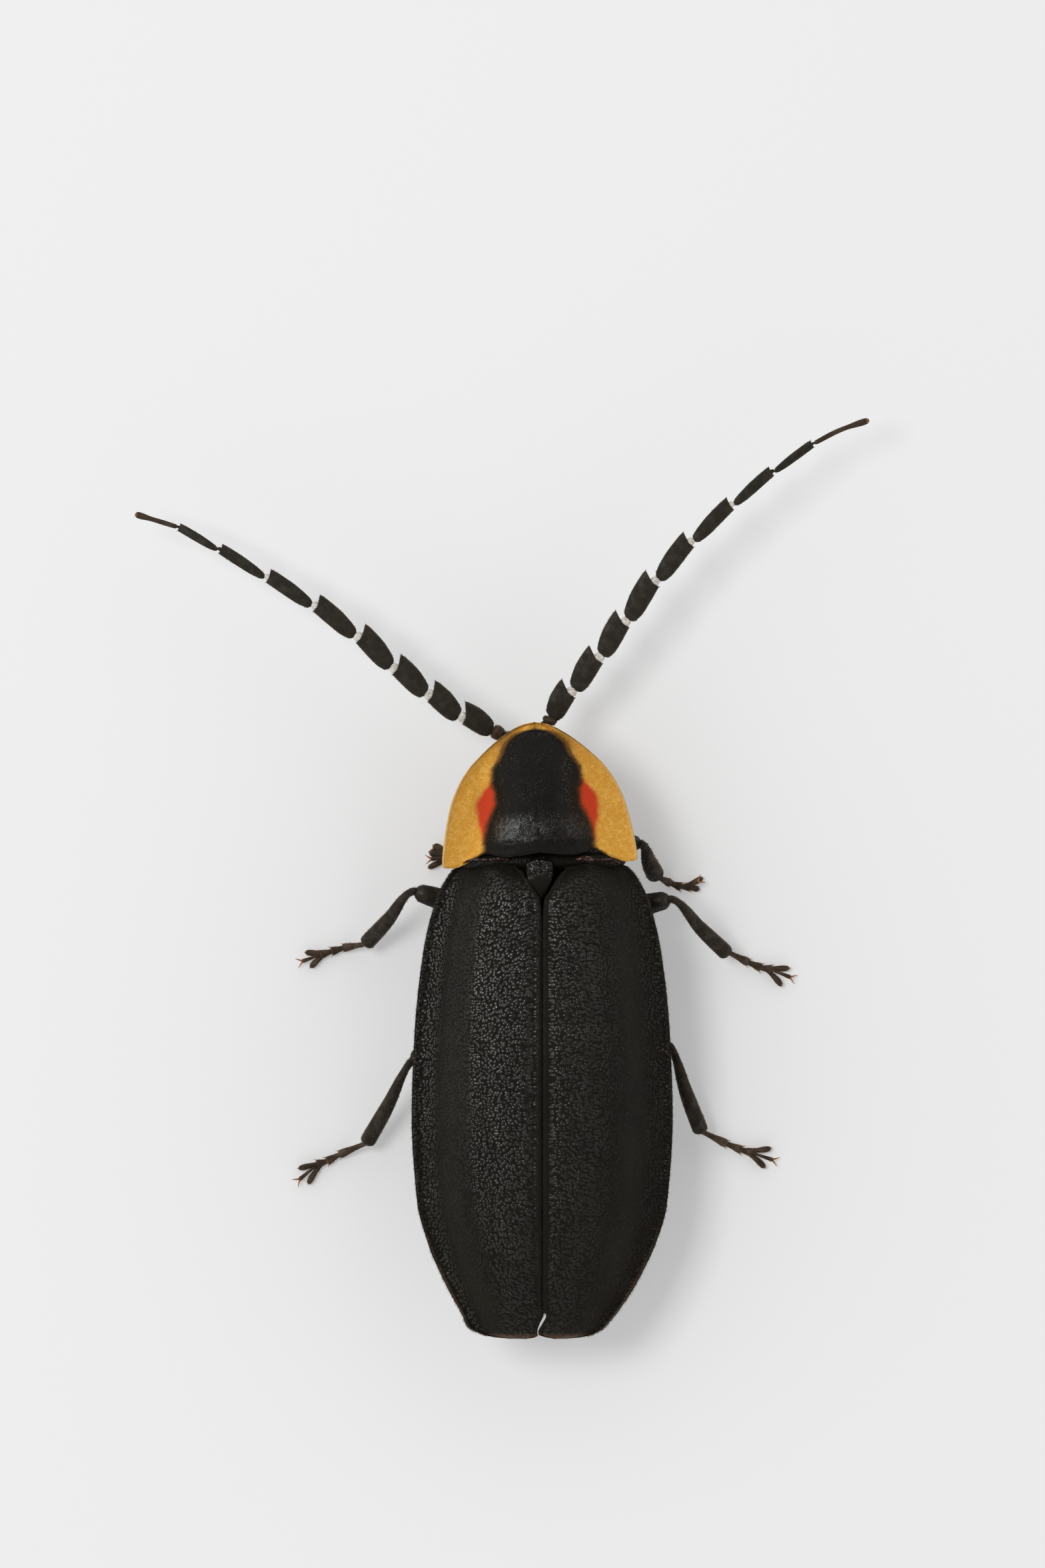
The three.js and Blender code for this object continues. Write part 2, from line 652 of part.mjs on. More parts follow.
// Feet: joints one to three are hearts, the fourth has two lobes, and the fifth is slim and ends in two
// claws. Places along a foot are shares of the way from the ankle to the tips of the claws.
const HEARTS = [
  { start: 0, end: 0.27, width: 0.3, height: 0.34 },
  { start: 0.22, end: 0.42, width: 0.32, height: 0.29 },
  { start: 0.38, end: 0.55, width: 0.32, height: 0.25 },
];
const HEART_ROOT = 0.52; // width of a heart's narrow end, as a share of its wide end
const HEART_NOTCH = 0.05;
const TOP_WIDTH = 0.6; // a foot joint's top is this much of its sole
const LOBES = { start: 0.5, fork: 0.64, bend: 0.74, end: 0.88, spread: 0.17, width: 0.11, height: 0.2 };
const CLAW_JOINT = { start: 0.55, end: 0.92, width: 0.13, height: 0.24, clearance: 0.02 };
const CLAWS = { spread: 0.1, radius: 0.05, rootHeight: 0.11, tipHeight: 0.05, root: 0.05 };

const polygon = (points) => new THREE.Shape(points.map(([x, y]) => new THREE.Vector2(x, y)));
const slab = (outline, depth) => new THREE.ExtrudeGeometry(outline, { depth, bevelEnabled: false });

function heart({ start, end, width, height }, length) {
  const [back, front] = [start * length, end * length];
  const right = [[(width / 2) * HEART_ROOT, back], [width / 2, front]];
  const left = right.map(([x, y]) => [-x, y]).reverse();
  const outline = polygon([...right, [0, front - HEART_NOTCH], ...left]);
  return shaped(slab(outline, height), (p) => vec(p.x * (p.z > 0 ? TOP_WIDTH : 1), p.y, p.z));
}

function lobes(length) {
  const outer = LOBES.spread + LOBES.width * 0.3;
  const inner = LOBES.spread - LOBES.width * 0.7;
  const right = [
    [0.08, LOBES.start * length],
    [outer, LOBES.bend * length],
    [outer, LOBES.end * length - 0.03],
    [LOBES.spread - LOBES.width * 0.3, LOBES.end * length],
    [inner, LOBES.bend * length],
  ];
  const left = right.map(([x, y]) => [-x, y]).reverse();
  return slab(polygon([...right, [0, LOBES.fork * length], ...left]), LOBES.height);
}

function clawJoint(length) {
  const { start, end, width, height, clearance } = CLAW_JOINT;
  return shaped(new THREE.BoxGeometry(width, 1, 1), (p) => {
    const y = lerp(start, end, p.y + 0.5) * length;
    return vec(p.x * (p.z > 0 ? TOP_WIDTH : 1), y, p.z > 0 ? height : clearance);
  });
}

function claw(hand, length) {
  const back = CLAW_JOINT.end * length - CLAWS.root;
  return shaped(new THREE.ConeGeometry(CLAWS.radius, 1, 6, 3), (p) => {
    const t = p.y + 0.5;
    const x = hand * (0.03 + CLAWS.spread * sin((t * PI) / 2)) + p.x;
    return vec(x, lerp(back, length, t), lerp(CLAWS.rootHeight, CLAWS.tipHeight, t * t) + p.z);
  });
}

// A foot is made straight along +Y, then bent along its course on the floor. Its first face turns to the
// ankle's direction.
function foot(leg) {
  const { knee, ankle, fork, tip } = leg;
  const course = new THREE.CatmullRomCurve3([vec(ankle.x, ankle.y), fork, tip]);
  const length = course.getLength();
  const hearts = HEARTS.map((sizes) => heart(sizes, length));
  const straight = joined([...hearts, lobes(length), clawJoint(length), claw(-1, length), claw(1, length)]);
  const first = course.getTangentAt(0);
  const right = vec().crossVectors(first, UP);
  const face = facing(knee, ankle, toeward(leg));
  return shaped(straight, (p) => {
    const t = min(max(p.y / length, 0), 1);
    const ahead = course.getTangentAt(t);
    const side = vec().crossVectors(ahead, UP);
    const spot = course.getPointAt(t).addScaledVector(side, p.x).addScaledVector(UP, p.z);
    const onFirstFace = p.y < 0.001;
    const depth = GAP / 2 - face.z * (p.z - ankle.z) - face.dot(right) * p.x;
    return onFirstFace ? spot.addScaledVector(first, depth / face.dot(first)) : spot;
  });
}

// Materials
const finish = (color, roughness) => new THREE.MeshStandardMaterial({ color, roughness, metalness: 0 });
const FINISHES = {
  shell: finish(0x24231f, 0.35),
  shield: finish(0xb9843b, 0.45),
  membrane: finish(0x3b3027, 0.4),
  eye: finish(0x0c0b0a, 0.15),
  limb: finish(0x2b251e, 0.45),
};

function named(name, geometry, material) {
  const mesh = new THREE.Mesh(geometry, material);
  mesh.name = name;
  return mesh;
}

// The whole insect
const insect = new THREE.Group();
const forebody = new THREE.Group();
forebody.position.copy(SHIELD_PLACE);
forebody.rotation.z = SHIELD_TURN;
insect.add(forebody);

const toForebody = (point) => point.clone().sub(SHIELD_PLACE).applyAxisAngle(UP, -SHIELD_TURN);
const inForebody = (leg) =>
  Object.fromEntries(Object.entries(leg).map(([joint, point]) => [joint, toForebody(point)]));
const rooms = (legs) => legs.flatMap((leg) => [room(coxaPlan(leg)), room(femurPlan(leg))]);
const frontLegs = [LEGS.front_left, LEGS.front_right];
const middleLegs = [LEGS.middle_left, LEGS.middle_right];
const hindLegs = [LEGS.hind_left, LEGS.hind_right];

forebody.add(
  named("pronotum", headShield(), FINISHES.shield),
  named("head", head(), FINISHES.shell),
  named("eye_left", ball(onLeft(EYE)), FINISHES.eye),
  named("eye_right", ball(EYE), FINISHES.eye),
  named("mouthparts", mouthparts(), FINISHES.limb),
  named("prosternum", foreChest(rooms(frontLegs.map(inForebody))), FINISHES.shell),
);
insect.add(
  named("scutellum", scutellum(), FINISHES.shell),
  named("thorax", hindChest(rooms([...middleLegs, ...hindLegs])), FINISHES.shell),
  named("abdomen", belly(rooms(hindLegs)), FINISHES.shell),
  named("elytron_left", mirrored(wingCase(1)), FINISHES.shell),
  named("elytron_right", wingCase(-1), FINISHES.shell),
  named("hindwing_left", mirrored(hindWing(-WING_SEAM)), FINISHES.membrane),
  named("hindwing_right", hindWing(WING_SEAM + GAP), FINISHES.membrane),
);
for (const [side, feeler] of Object.entries(FEELERS)) {
  insect.add(
    named(`antenna_${side}_scape`, scape(feeler), FINISHES.limb),
    named(`antenna_${side}_flagellum`, flagellum(feeler), FINISHES.limb),
  );
}
for (const [place, leg] of Object.entries(LEGS)) {
  insect.add(
    named(`coxa_${place}`, coxa(leg), FINISHES.limb),
    named(`femur_${place}`, femur(leg), FINISHES.limb),
    named(`tibia_${place}`, tibia(leg), FINISHES.limb),
    named(`tarsus_${place}`, foot(leg), FINISHES.limb),
  );
}

// The middle of the model's box goes to the origin.
const middle = new THREE.Box3().setFromObject(insect, true).getCenter(vec());
insect.position.set(-middle.x, -middle.y, 0);

const firefly = new THREE.Group();
firefly.add(insect);

export default firefly;
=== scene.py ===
# %% [markdown]
# # A black firefly, life size
# The insect is a beetle 11 mm long, seen from straight above on a white ground. It has granular black wing
# cases, an orange-yellow head shield with a black middle and two red spots, and two long feelers made of
# flat blades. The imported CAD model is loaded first, because every piece is shaped around it.

from math import cos, pi, radians, sin, tau

import bmesh
import bpy
import numpy as np
from mathutils import Matrix, Vector, noise


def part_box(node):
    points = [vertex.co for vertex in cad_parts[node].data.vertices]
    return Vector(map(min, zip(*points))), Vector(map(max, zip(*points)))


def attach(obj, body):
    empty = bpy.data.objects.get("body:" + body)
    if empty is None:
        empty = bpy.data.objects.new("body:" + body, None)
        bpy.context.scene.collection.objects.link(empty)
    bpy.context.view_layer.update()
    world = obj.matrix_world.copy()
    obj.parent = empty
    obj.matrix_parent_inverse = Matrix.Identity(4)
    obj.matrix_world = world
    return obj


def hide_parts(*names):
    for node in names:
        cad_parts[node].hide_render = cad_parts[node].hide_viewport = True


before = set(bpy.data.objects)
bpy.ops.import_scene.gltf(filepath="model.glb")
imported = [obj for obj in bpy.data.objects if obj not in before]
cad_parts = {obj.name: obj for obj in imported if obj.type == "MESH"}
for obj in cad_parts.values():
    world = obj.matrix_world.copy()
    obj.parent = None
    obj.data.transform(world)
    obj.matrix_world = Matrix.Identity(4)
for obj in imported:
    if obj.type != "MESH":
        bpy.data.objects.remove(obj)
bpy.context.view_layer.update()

# %% [markdown]
# Such a small thing is easiest to think of in millimetres. All shapes below are made in the insect's own
# frame: x = 0 on the seam of the wing cases, y = 0 near their front edge, z = 0 on the floor. The CAD says
# where that frame lies, because the seam and the tips of the wing cases are known places in it. The
# forebody, which is the shield and the head, is turned a little to the left in the insect's frame.

# %% Frames of the insect and its forebody
MM = 0.001
CASE_TIP = -8.42
CASE_FRONT = 0.08
FOREBODY_TURN = 2.35

left_case, right_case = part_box("elytron_left"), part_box("elytron_right")
seam_x = (left_case[1].x + right_case[0].x) / 2
BODY = Vector((seam_x / MM, right_case[0].y / MM - CASE_TIP, 0))
FOREBODY = Matrix.Translation((-0.04, 0.07, 0)) @ Matrix.Rotation(radians(FOREBODY_TURN), 4, "Z")
TO_METRES = Matrix.Scale(MM, 4) @ Matrix.Translation(BODY)
UP = np.array([0, 0, 1.0])
print("the insect's frame lies at", tuple(round(c, 3) for c in BODY), "mm")

# %% [markdown]
# The camera, floor and lights come first, so that every later step can be judged in a render. The camera
# looks straight down. It stands far off with a long lens, so that a foot on the floor and the top of the
# back keep the same scale, as in the photograph.

# %% Camera
VIEW_HEIGHT = 27.97  # millimetres of floor from the bottom of the picture to its top
VIEW_CENTRE = Vector((-0.351, 1.474, 1.4))
CAMERA_DISTANCE = 600
SENSOR = 36


def placed(name, data):
    """Puts a new object into the scene."""
    obj = bpy.data.objects.new(name, data)
    bpy.context.scene.collection.objects.link(obj)
    return obj


lens = bpy.data.cameras.new("camera")
lens.sensor_fit = "VERTICAL"
lens.sensor_height = SENSOR
lens.lens = SENSOR * CAMERA_DISTANCE / VIEW_HEIGHT
lens.clip_start = 0.01
lens.clip_end = 10
camera = placed("camera", lens)
camera.location = (VIEW_CENTRE + BODY + Vector((0, 0, CAMERA_DISTANCE))) * MM
bpy.context.scene.camera = camera
print("lens", round(lens.lens), "mm")

# %% [markdown]
# Shader maths reads best as plain arithmetic. A `Field` wraps a socket whose value varies over a surface,
# and each operator on it adds one Math node. Every other node comes from `Shader.node`, which takes the
# node's type, its settings, and what goes into its sockets. Colours are given as red, green and blue.

# %% Shader helpers
class Field:
    """A value that varies over a surface. Arithmetic on it adds Math nodes."""

    def __init__(self, shader, socket):
        self.shader = shader
        self.socket = socket

    def maths(self, operation, *values):
        return self.shader.node("ShaderNodeMath", values, operation=operation)

    def __add__(self, other):
        return self.maths("ADD", self, other)

    def __sub__(self, other):
        return self.maths("SUBTRACT", self, other)

    def __mul__(self, other):
        return self.maths("MULTIPLY", self, other)

    def __rsub__(self, other):
        return self.maths("SUBTRACT", other, self)

    def clipped(self):
        return self.shader.node("ShaderNodeClamp", [self])

    def step(self, low, high):
        """0 below low and 1 above high, with a smooth change between."""
        return self.shader.node(
            "ShaderNodeMapRange", [self, low, high, 0, 1], interpolation_type="SMOOTHSTEP"
        )


class Shader:
    """A material and its nodes."""

    def __init__(self, name):
        self.material = bpy.data.materials.new(name)
        self.material.use_nodes = True
        self.tree = self.material.node_tree
        self.tree.nodes.clear()
        self.output = self.tree.nodes.new("ShaderNodeOutputMaterial")

    def node(self, kind, inputs=(), output=0, **settings):
        """Adds a node and returns one of its outputs. Inputs are a list, or names with their values."""
        node = self.tree.nodes.new(kind)
        for setting, value in settings.items():
            setattr(node, setting, value)
        named = inputs.items() if isinstance(inputs, dict) else enumerate(inputs)
        for key, value in named:
            self.feed(node.inputs[key], value)
        return Field(self, node.outputs[output])

    def feed(self, socket, value):
        if isinstance(value, Field):
            self.tree.links.new(value.socket, socket)
        elif value is not None:
            socket.default_value = (*value, 1) if socket.type == "RGBA" else value

    def place(self, forebody=False):
        """The place on the insect in millimetres, in its own frame or in the forebody's."""
        spot = self.node("ShaderNodeTexCoord", output="Object")
        turn = FOREBODY.inverted() if forebody else Matrix()
        move = turn @ Matrix.Translation(-BODY)
        inputs = {
            "Vector": spot,
            "Location": move.translation,
            "Rotation": move.to_euler(),
            "Scale": (1 / MM,) * 3,
        }
        return self.node("ShaderNodeMapping", inputs)

    def shares(self):
        """The shares across and along a piece, which its UV map keeps."""
        return self.axes(self.node("ShaderNodeUVMap", uv_map="UVMap"))[:2]

    def axes(self, vector):
        return [self.node("ShaderNodeSeparateXYZ", [vector], output=i) for i in range(3)]

    def stretched(self, vector, scale):
        return self.node("ShaderNodeMapping", {"Vector": vector, "Scale": scale})

    def noise(self, vector, scale, detail):
        inputs = {"Vector": vector, "Scale": scale, "Detail": detail}
        return self.node("ShaderNodeTexNoise", inputs)

    def cells(self, vector, scale, randomness=1.0, **settings):
        """The distance to the middle of the nearest cell, in cells."""
        inputs = {"Vector": vector, "Scale": scale, "Randomness": randomness}
        return self.node("ShaderNodeTexVoronoi", inputs, output="Distance", **settings)

    def grains(self, vector, scale):
        """Rounded grains that crowd each other, seen from above, as a height of 0 to 1."""
        apart = self.cells(vector, scale, 0.85, voronoi_dimensions="2D")
        return (1 - apart * apart * 1.8).clipped()

    def attribute(self, name):
        return self.node("ShaderNodeAttribute", output="Fac", attribute_name=name)

    def mix(self, share, one, other):
        """A colour between two colours."""
        inputs = {0: share, 6: one, 7: other}
        return self.node("ShaderNodeMix", inputs, output=2, data_type="RGBA")

    def bump(self, height, depth):
        """Bumps whose height field of 0 to 1 is a depth in millimetres."""
        inputs = {"Strength": 1.0, "Distance": depth * MM, "Height": height}
        return self.node("ShaderNodeBump", inputs)

    def surface(self, color, roughness, normal=None, **constants):
        """One surface shader. Constants are set on its own sockets."""
        inputs = {"Base Color": color, "Roughness": roughness, "Normal": normal}
        inputs.update({key.replace("_", " "): value for key, value in constants.items()})
        return self.node("ShaderNodeBsdfPrincipled", inputs)

    def finished(self, surface):
        self.tree.links.new(surface.socket, self.output.inputs[0])
        return self.material

    def two_coats(self, color, normal, dull, polished, share):
        """Ends the material with a share of a polished coat on a dull one, each a roughness and a shine."""
        coats = []
        for roughness, shine in (dull, polished):
            coats.append(self.surface(color, roughness, normal, Specular_IOR_Level=shine))
        return self.finished(self.node("ShaderNodeMixShader", [share, *coats]))


print("shader helpers ready")

# %% [markdown]
# The ground is a plain pale sheet. One large soft lamp stands high at the upper left, and an even pale
# light comes from all round, weaker from straight above, where the camera's dark body would be. So the
# shadows fall softly to the right, and black surfaces that face up stay black, as in the photograph. The
# ground glows a little, as white plastic does that lets light pass sideways into a shadow.

# %% Floor and lights
SIDE_LIGHT = 1.38
OVERHEAD_LIGHT = 0.1
LAMP_POWER = 0.22
LAMP_SIZE = 0.085
LAMP_PLACE = Vector((-0.098, 0.04, 0.2))
SKY_FALL = (0.35, 0.9)  # how high in the sky its light starts to fall off, and where it is weakest
GROUND_GLOW = 0.24
GROUND_GREY = (0.62,) * 3
GROUND_SIZE = 0.6

floor_bm = bmesh.new()
bmesh.ops.create_grid(floor_bm, x_segments=2, y_segments=2, size=GROUND_SIZE)
floor_mesh = bpy.data.meshes.new("floor")
floor_bm.to_mesh(floor_mesh)
floor_bm.free()
floor = placed("floor", floor_mesh)
paper = Shader("ground")
glow = {"Emission_Color": (1, 1, 1), "Emission_Strength": GROUND_GLOW}
sheet = paper.surface(GROUND_GREY, 0.9, Specular_IOR_Level=0.1, **glow)
floor_mesh.materials.append(paper.finished(sheet))

world = bpy.data.worlds.new("studio")
world.use_nodes = True
sky = world.node_tree
direction = sky.nodes.new("ShaderNodeTexCoord")
split = sky.nodes.new("ShaderNodeSeparateXYZ")
fall = sky.nodes.new("ShaderNodeMapRange")
fall.interpolation_type = "SMOOTHSTEP"
for key, value in enumerate((*SKY_FALL, SIDE_LIGHT, OVERHEAD_LIGHT), 1):
    fall.inputs[key].default_value = value
sky.links.new(direction.outputs["Generated"], split.inputs[0])
sky.links.new(split.outputs["Z"], fall.inputs[0])
sky.links.new(fall.outputs[0], sky.nodes["Background"].inputs["Strength"])
sky.nodes["Background"].inputs["Color"].default_value = (1, 1, 1, 1)
bpy.context.scene.world = world

lamp_data = bpy.data.lights.new("soft lamp", "AREA")
lamp_data.energy = LAMP_POWER
lamp_data.size = LAMP_SIZE
lamp = placed("soft lamp", lamp_data)
lamp.location = LAMP_PLACE
lamp.rotation_euler = (BODY * MM - LAMP_PLACE).to_track_quat("-Z", "Y").to_euler()
bpy.context.scene.view_settings.view_transform = "Standard"
print("floor, sky and lamp placed")

# %% [markdown]
# Nearly every piece of an insect is a shell that follows a few smooth curves: how wide it is, how high it
# rises, how round its section is. `through` gives such a curve from a few known stations, and works on
# whole arrays of places at once. The curve never swings past its stations, so an edge stays an edge.

# %% Smooth curves
def through(*stations):
    """A smooth curve through (place, value) stations."""
    places, values = np.array(stations, float).T
    rises = np.diff(values) / np.diff(places)
    before, after = np.append(rises[0], rises), np.append(rises, rises[-1])
    alike = before * after > 0
    slopes = np.where(alike, 2 * before * after / np.where(alike, before + after, 1), 0)

    def value(place):
        x = np.clip(place, places[0], places[-1])
        i = np.clip(np.searchsorted(places, x) - 1, 0, len(places) - 2)
        span = places[i + 1] - places[i]
        t = (x - places[i]) / span
        rest = 1 - t
        level = rest**2 * (1 + 2 * t) * values[i] + t**2 * (3 - 2 * t) * values[i + 1]
        return level + span * t * rest * (rest * slopes[i] - t * slopes[i + 1])

    return value


def mixed(one, other, share):
    return one + (other - one) * share


def eased(t):
    """Equal steps from 0 to 1, drawn closer together towards both ends."""
    return (1 - np.cos(pi * t)) / 2


def held(value):
    return np.clip(value, 0, 1)


def hump(at, centre, width):
    """A smooth ridge of height 1."""
    return np.exp(-(((at - centre) / width) ** 2))


print("curve helpers ready")

# %% [markdown]
# Two moves then make most shapes. A `slab` is a flat grid, extruded once and bent to a top and an
# underside, for wing cases and plates. A `sleeve` is a grid rolled round a line until its ends close, for
# legs, feelers, head and belly. Operators make the grids, and the functions only say where they go.

# %% Slabs and sleeves
SHARP_ANGLE = radians(50)
SIDES = ((-1, "left"), (1, "right"))


def moved(verts, move):
    """Moves vertices by a function of their x, y and z, taken as arrays."""
    spots = np.array([v.co for v in verts]).T
    for vert, spot in zip(verts, np.array(move(*spots)).T):
        vert.co = spot


def flat_grid(bm, columns, rows):
    """The corners of a flat grid. Its UV map keeps their shares across and along a piece."""
    layers = bm.loops.layers.uv
    if not layers.get("UVMap"):
        layers.new("UVMap")
    return bmesh.ops.create_grid(bm, x_segments=columns, y_segments=rows, size=0.5, calc_uvs=True)["verts"]


def slab(bm, columns, rows, top, under):
    """A closed plate, with places for its top and underside by shares across and along. Returns the top."""
    flat = flat_grid(bm, columns, rows)
    faces = list({face for vert in flat for face in vert.link_faces})
    raised = bmesh.ops.extrude_face_region(bm, geom=faces, use_keep_orig=True)["geom"]
    upper = [part for part in raised if isinstance(part, bmesh.types.BMVert)]
    moved(upper, lambda x, y, z: top(x + 0.5, y + 0.5))
    moved(flat, lambda x, y, z: under(x + 0.5, y + 0.5))
    return upper


def sleeve(bm, sides, steps, place):
    """A closed skin round a line. Place gives x, y and z at a share along it and an angle round it."""
    verts = flat_grid(bm, sides, steps)
    moved(verts, lambda x, y, z: place(y + 0.5, (x + 0.5) * tau))
    bmesh.ops.remove_doubles(bm, verts=verts, dist=1e-5)


def waves(verts, *layers):
    """Lifts corners by low noise, in layers of a height and how quickly it changes."""
    for vert in verts:
        vert.co.z += sum(height * noise.noise(vert.co * rate) for height, rate in layers)


def soften_edges(bm, width, segments=2):
    """Rounds every edge whose two faces meet at more than the sharp angle."""
    sharp = [e for e in bm.edges if len(e.link_faces) == 2 and e.calc_face_angle() > SHARP_ANGLE]
    bmesh.ops.bevel(
        bm, geom=sharp, offset=width, affect="EDGES", segments=segments, profile=0.5, material=-1
    )


def piece(bm, name, material, slot, *nodes, forebody=False):
    """Turns a bmesh in millimetres into a finished piece that stands for CAD nodes."""
    bmesh.ops.recalc_face_normals(bm, faces=bm.faces)
    bm.transform(TO_METRES @ FOREBODY if forebody else TO_METRES)
    mesh = bpy.data.meshes.new(name)
    bm.to_mesh(mesh)
    bm.free()
    mesh.shade_smooth()
    mesh.materials.append(material)
    obj = placed(name, mesh)
    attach(obj, "root")
    if nodes:
        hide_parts(*nodes)
    print(name, len(mesh.polygons), "faces")
    return obj


# %% [markdown]
# A leg or feeler joint is a rounded bar along a bent line. `bent` gives the place on the line and three
# directions there, and `bar` wraps a sleeve of given width and height round it, with round ends. Lines
# that both sides of the insect share are written once, and `mirrored` turns them to the left or right.

# %% Bars along a bent line
NEARBY = 0.02


def unit(vectors):
    return vectors / np.linalg.norm(vectors, axis=0)


def steady(value):
    """A curve that stays at one value."""
    return lambda t: value + 0 * t


def straight(back, front):
    return [back, mixed(back, front, 0.5), front]


def mirrored(side, *points):
    """Points whose x is counted outwards, on side -1 or 1."""
    return [(side * x, y, z) for x, y, z in points]


def bent(points):
    """A smooth line. It gives its place and the directions ahead, sideways and up, at shares along it."""
    points = np.array([tuple(p) for p in points], float)
    lengths = np.append(0, np.cumsum(np.linalg.norm(np.diff(points, axis=0), axis=1)))
    ways = [through(*zip(lengths / lengths[-1], along)) for along in points.T]

    def at(t):
        t = np.atleast_1d(t)
        here = np.array([way(t) for way in ways])
        ahead = unit(np.array([way(t + NEARBY) - way(t - NEARBY) for way in ways]))
        side = unit(np.cross(ahead.T, UP).T)
        return here, ahead, side, np.cross(side.T, ahead.T).T

    return at


def rounded(share):
    """Rises from 0 to 1 as a quarter of a circle does."""
    return np.sqrt(1 - (1 - share) ** 2)


def round_ends(t, blunt):
    return rounded(held(np.minimum(t, 1 - t) / blunt))


def squarish(wave, power):
    """A sine or cosine whose circle is filled out towards a box, or the reverse above a power of 1."""
    return np.sign(wave) * np.abs(wave) ** power


def bar(bm, points, width, height=None, blunt=0.08, sides=16, steps=24):
    """Adds a rounded bar, and returns the function that gives a place on its skin."""
    line = bent(points)
    height = height or width

    def place(t, angle):
        t = eased(np.atleast_1d(t))
        here, _, side, rise = line(t)
        half = round_ends(t, blunt) / 2
        return here + side * np.cos(angle) * width(t) * half + rise * np.sin(angle) * height(t) * half

    sleeve(bm, sides, steps, place)
    return place


def ball(bm, centre, half, sides=32, rings=20):
    """Adds a smooth egg with half-sizes round a centre."""

    def place(t, angle):
        level = pi * (t - 0.5)
        x = centre[0] + half[0] * np.cos(level) * np.cos(angle)
        y = centre[1] + half[1] * np.sin(level)
        z = centre[2] + half[2] * np.cos(level) * np.sin(angle)
        return np.array([x, y, z])

    sleeve(bm, sides, rings, place)


print("bars and balls ready")

# %% [markdown]
# ## The black shell
# The wing cases look black, but it is their surface that shows: small rounded grains crowd each other, and
# the polished top of each catches a glint of the lamp, while the valleys between stay dull. Cells make the
# grains. A second, glossier surface is mixed in on their tops only, because gloss in the valleys would
# mirror the bright surroundings and turn the black to grey.

# %% Shell finish
BROWNER = (1.7, 1.5, 1.2)  # how much more red, green and blue the brown patches have
EDGE_BROWN = (0.1, 0.062, 0.04)


def grain_relief(shader, spot, grain, stretch=(0.9, 1.15, 1), wrapped=False):
    """Grains that wander a little. Wrapped ones also follow a flank down, by their height."""
    stray = shader.node("ShaderNodeTexNoise", {"Vector": spot, "Scale": 4.0, "Detail": 1.0}, output="Color")
    strayed = shader.node("ShaderNodeVectorMath", [stray, (0.1,) * 3, spot], operation="MULTIPLY_ADD")
    if wrapped:
        x, y, z = shader.axes(strayed)
        strayed = shader.node("ShaderNodeCombineXYZ", [x.maths("ABSOLUTE", x) - z, y])
    return shader.grains(shader.stretched(strayed, stretch), grain)


def shell_finish(name, grain, depth, color, gloss, mask=None, polish=0.3):
    """Grains per millimetre and their depth, then the black's colour, its share of gloss and its polish."""
    shader = Shader(name)
    spot = shader.place()
    grains = grain_relief(shader, spot, grain, wrapped=True)
    strength, shining, edge = mask(shader, spot) if mask else (1.0, 1.0, 0.0)
    normal = shader.bump((grains + shader.noise(spot, grain, 1) * 0.3) * strength, depth)
    patches = shader.noise(spot, 1.1, 2)
    brown = tuple(part * more for part, more in zip(color, BROWNER))
    tone = shader.mix(patches.step(0.35, 0.7) * 0.6, color, brown)
    tone = shader.mix(edge, tone, EDGE_BROWN)
    uneven = shader.noise(spot, 5, 2).step(0.3, 0.6) * 0.6 + 0.4
    share = grains.step(0.5, 0.95) * uneven * shining * gloss
    return shader.two_coats(tone, normal, (0.7, 0.08), (polish, 1.0), share)


def case_mask(shader, spot):
    """How strong the grains are, how much they shine, and where the edge is brown. The shine is made weaker
    towards the rear and the right: a painted falloff of the lamp's light.
    """
    across, along = shader.shares()
    x, y, _ = shader.axes(spot)
    gutter = across.step(0.4, 0.64) - across.step(0.76, 0.84)
    front = y.step(-0.7, -0.1)
    strength = across.step(0.02, 0.09) * (1 - gutter * 0.85) * (1 - front * 0.75)
    # Painted lamp falloff: the gloss share fades towards the rear and the right, where the lamp's light is
    # weaker.
    painted_lamp_falloff = (y.step(-8.5, -1.5) * 0.7 + 0.3) * (1 - x.step(-1.5, 1.8) * 0.7)
    side = across.step(0.955, 0.985) * (1 - y.step(-8.0, -6.0))
    edge = (1 - along.step(0.02, 0.055) * (1 - side)) * 0.75
    rim = across.step(0.78, 0.84) * 0.35
    return strength, (strength * 0.95 + 0.05) * painted_lamp_falloff * (1 - rim), edge


def lobe_mask(shader, spot):
    """The front lobe of the small plate shines, and its point is dull."""
    lobe = shader.axes(spot)[1].step(-0.24, -0.06) * 0.9 + 0.1
    return lobe, lobe, 0.0


CASE_BLACK = shell_finish("wing case black", 15.5, 0.021, (0.0078, 0.007, 0.005), 1.0, case_mask, 0.24)
PLATE_BLACK = shell_finish("plate black", 24.0, 0.006, (0.0075, 0.0066, 0.0045), 0.3)
LOBE_BLACK = shell_finish("small plate black", 22.0, 0.006, (0.0075, 0.0068, 0.005), 0.8, lobe_mask, 0.18)
print("shell finishes ready")

# %% [markdown]
# ## Wing cases
# Each wing case is one thin domed plate. In section it is flat on top, steep at the side, and ends in a
# gutter and a flat rim. The outline comes from the photograph, with the left tip a little fuller than the
# right. A raised bead runs along the seam, two faint ribs run along the back, and low waves keep the
# surface from looking machined.

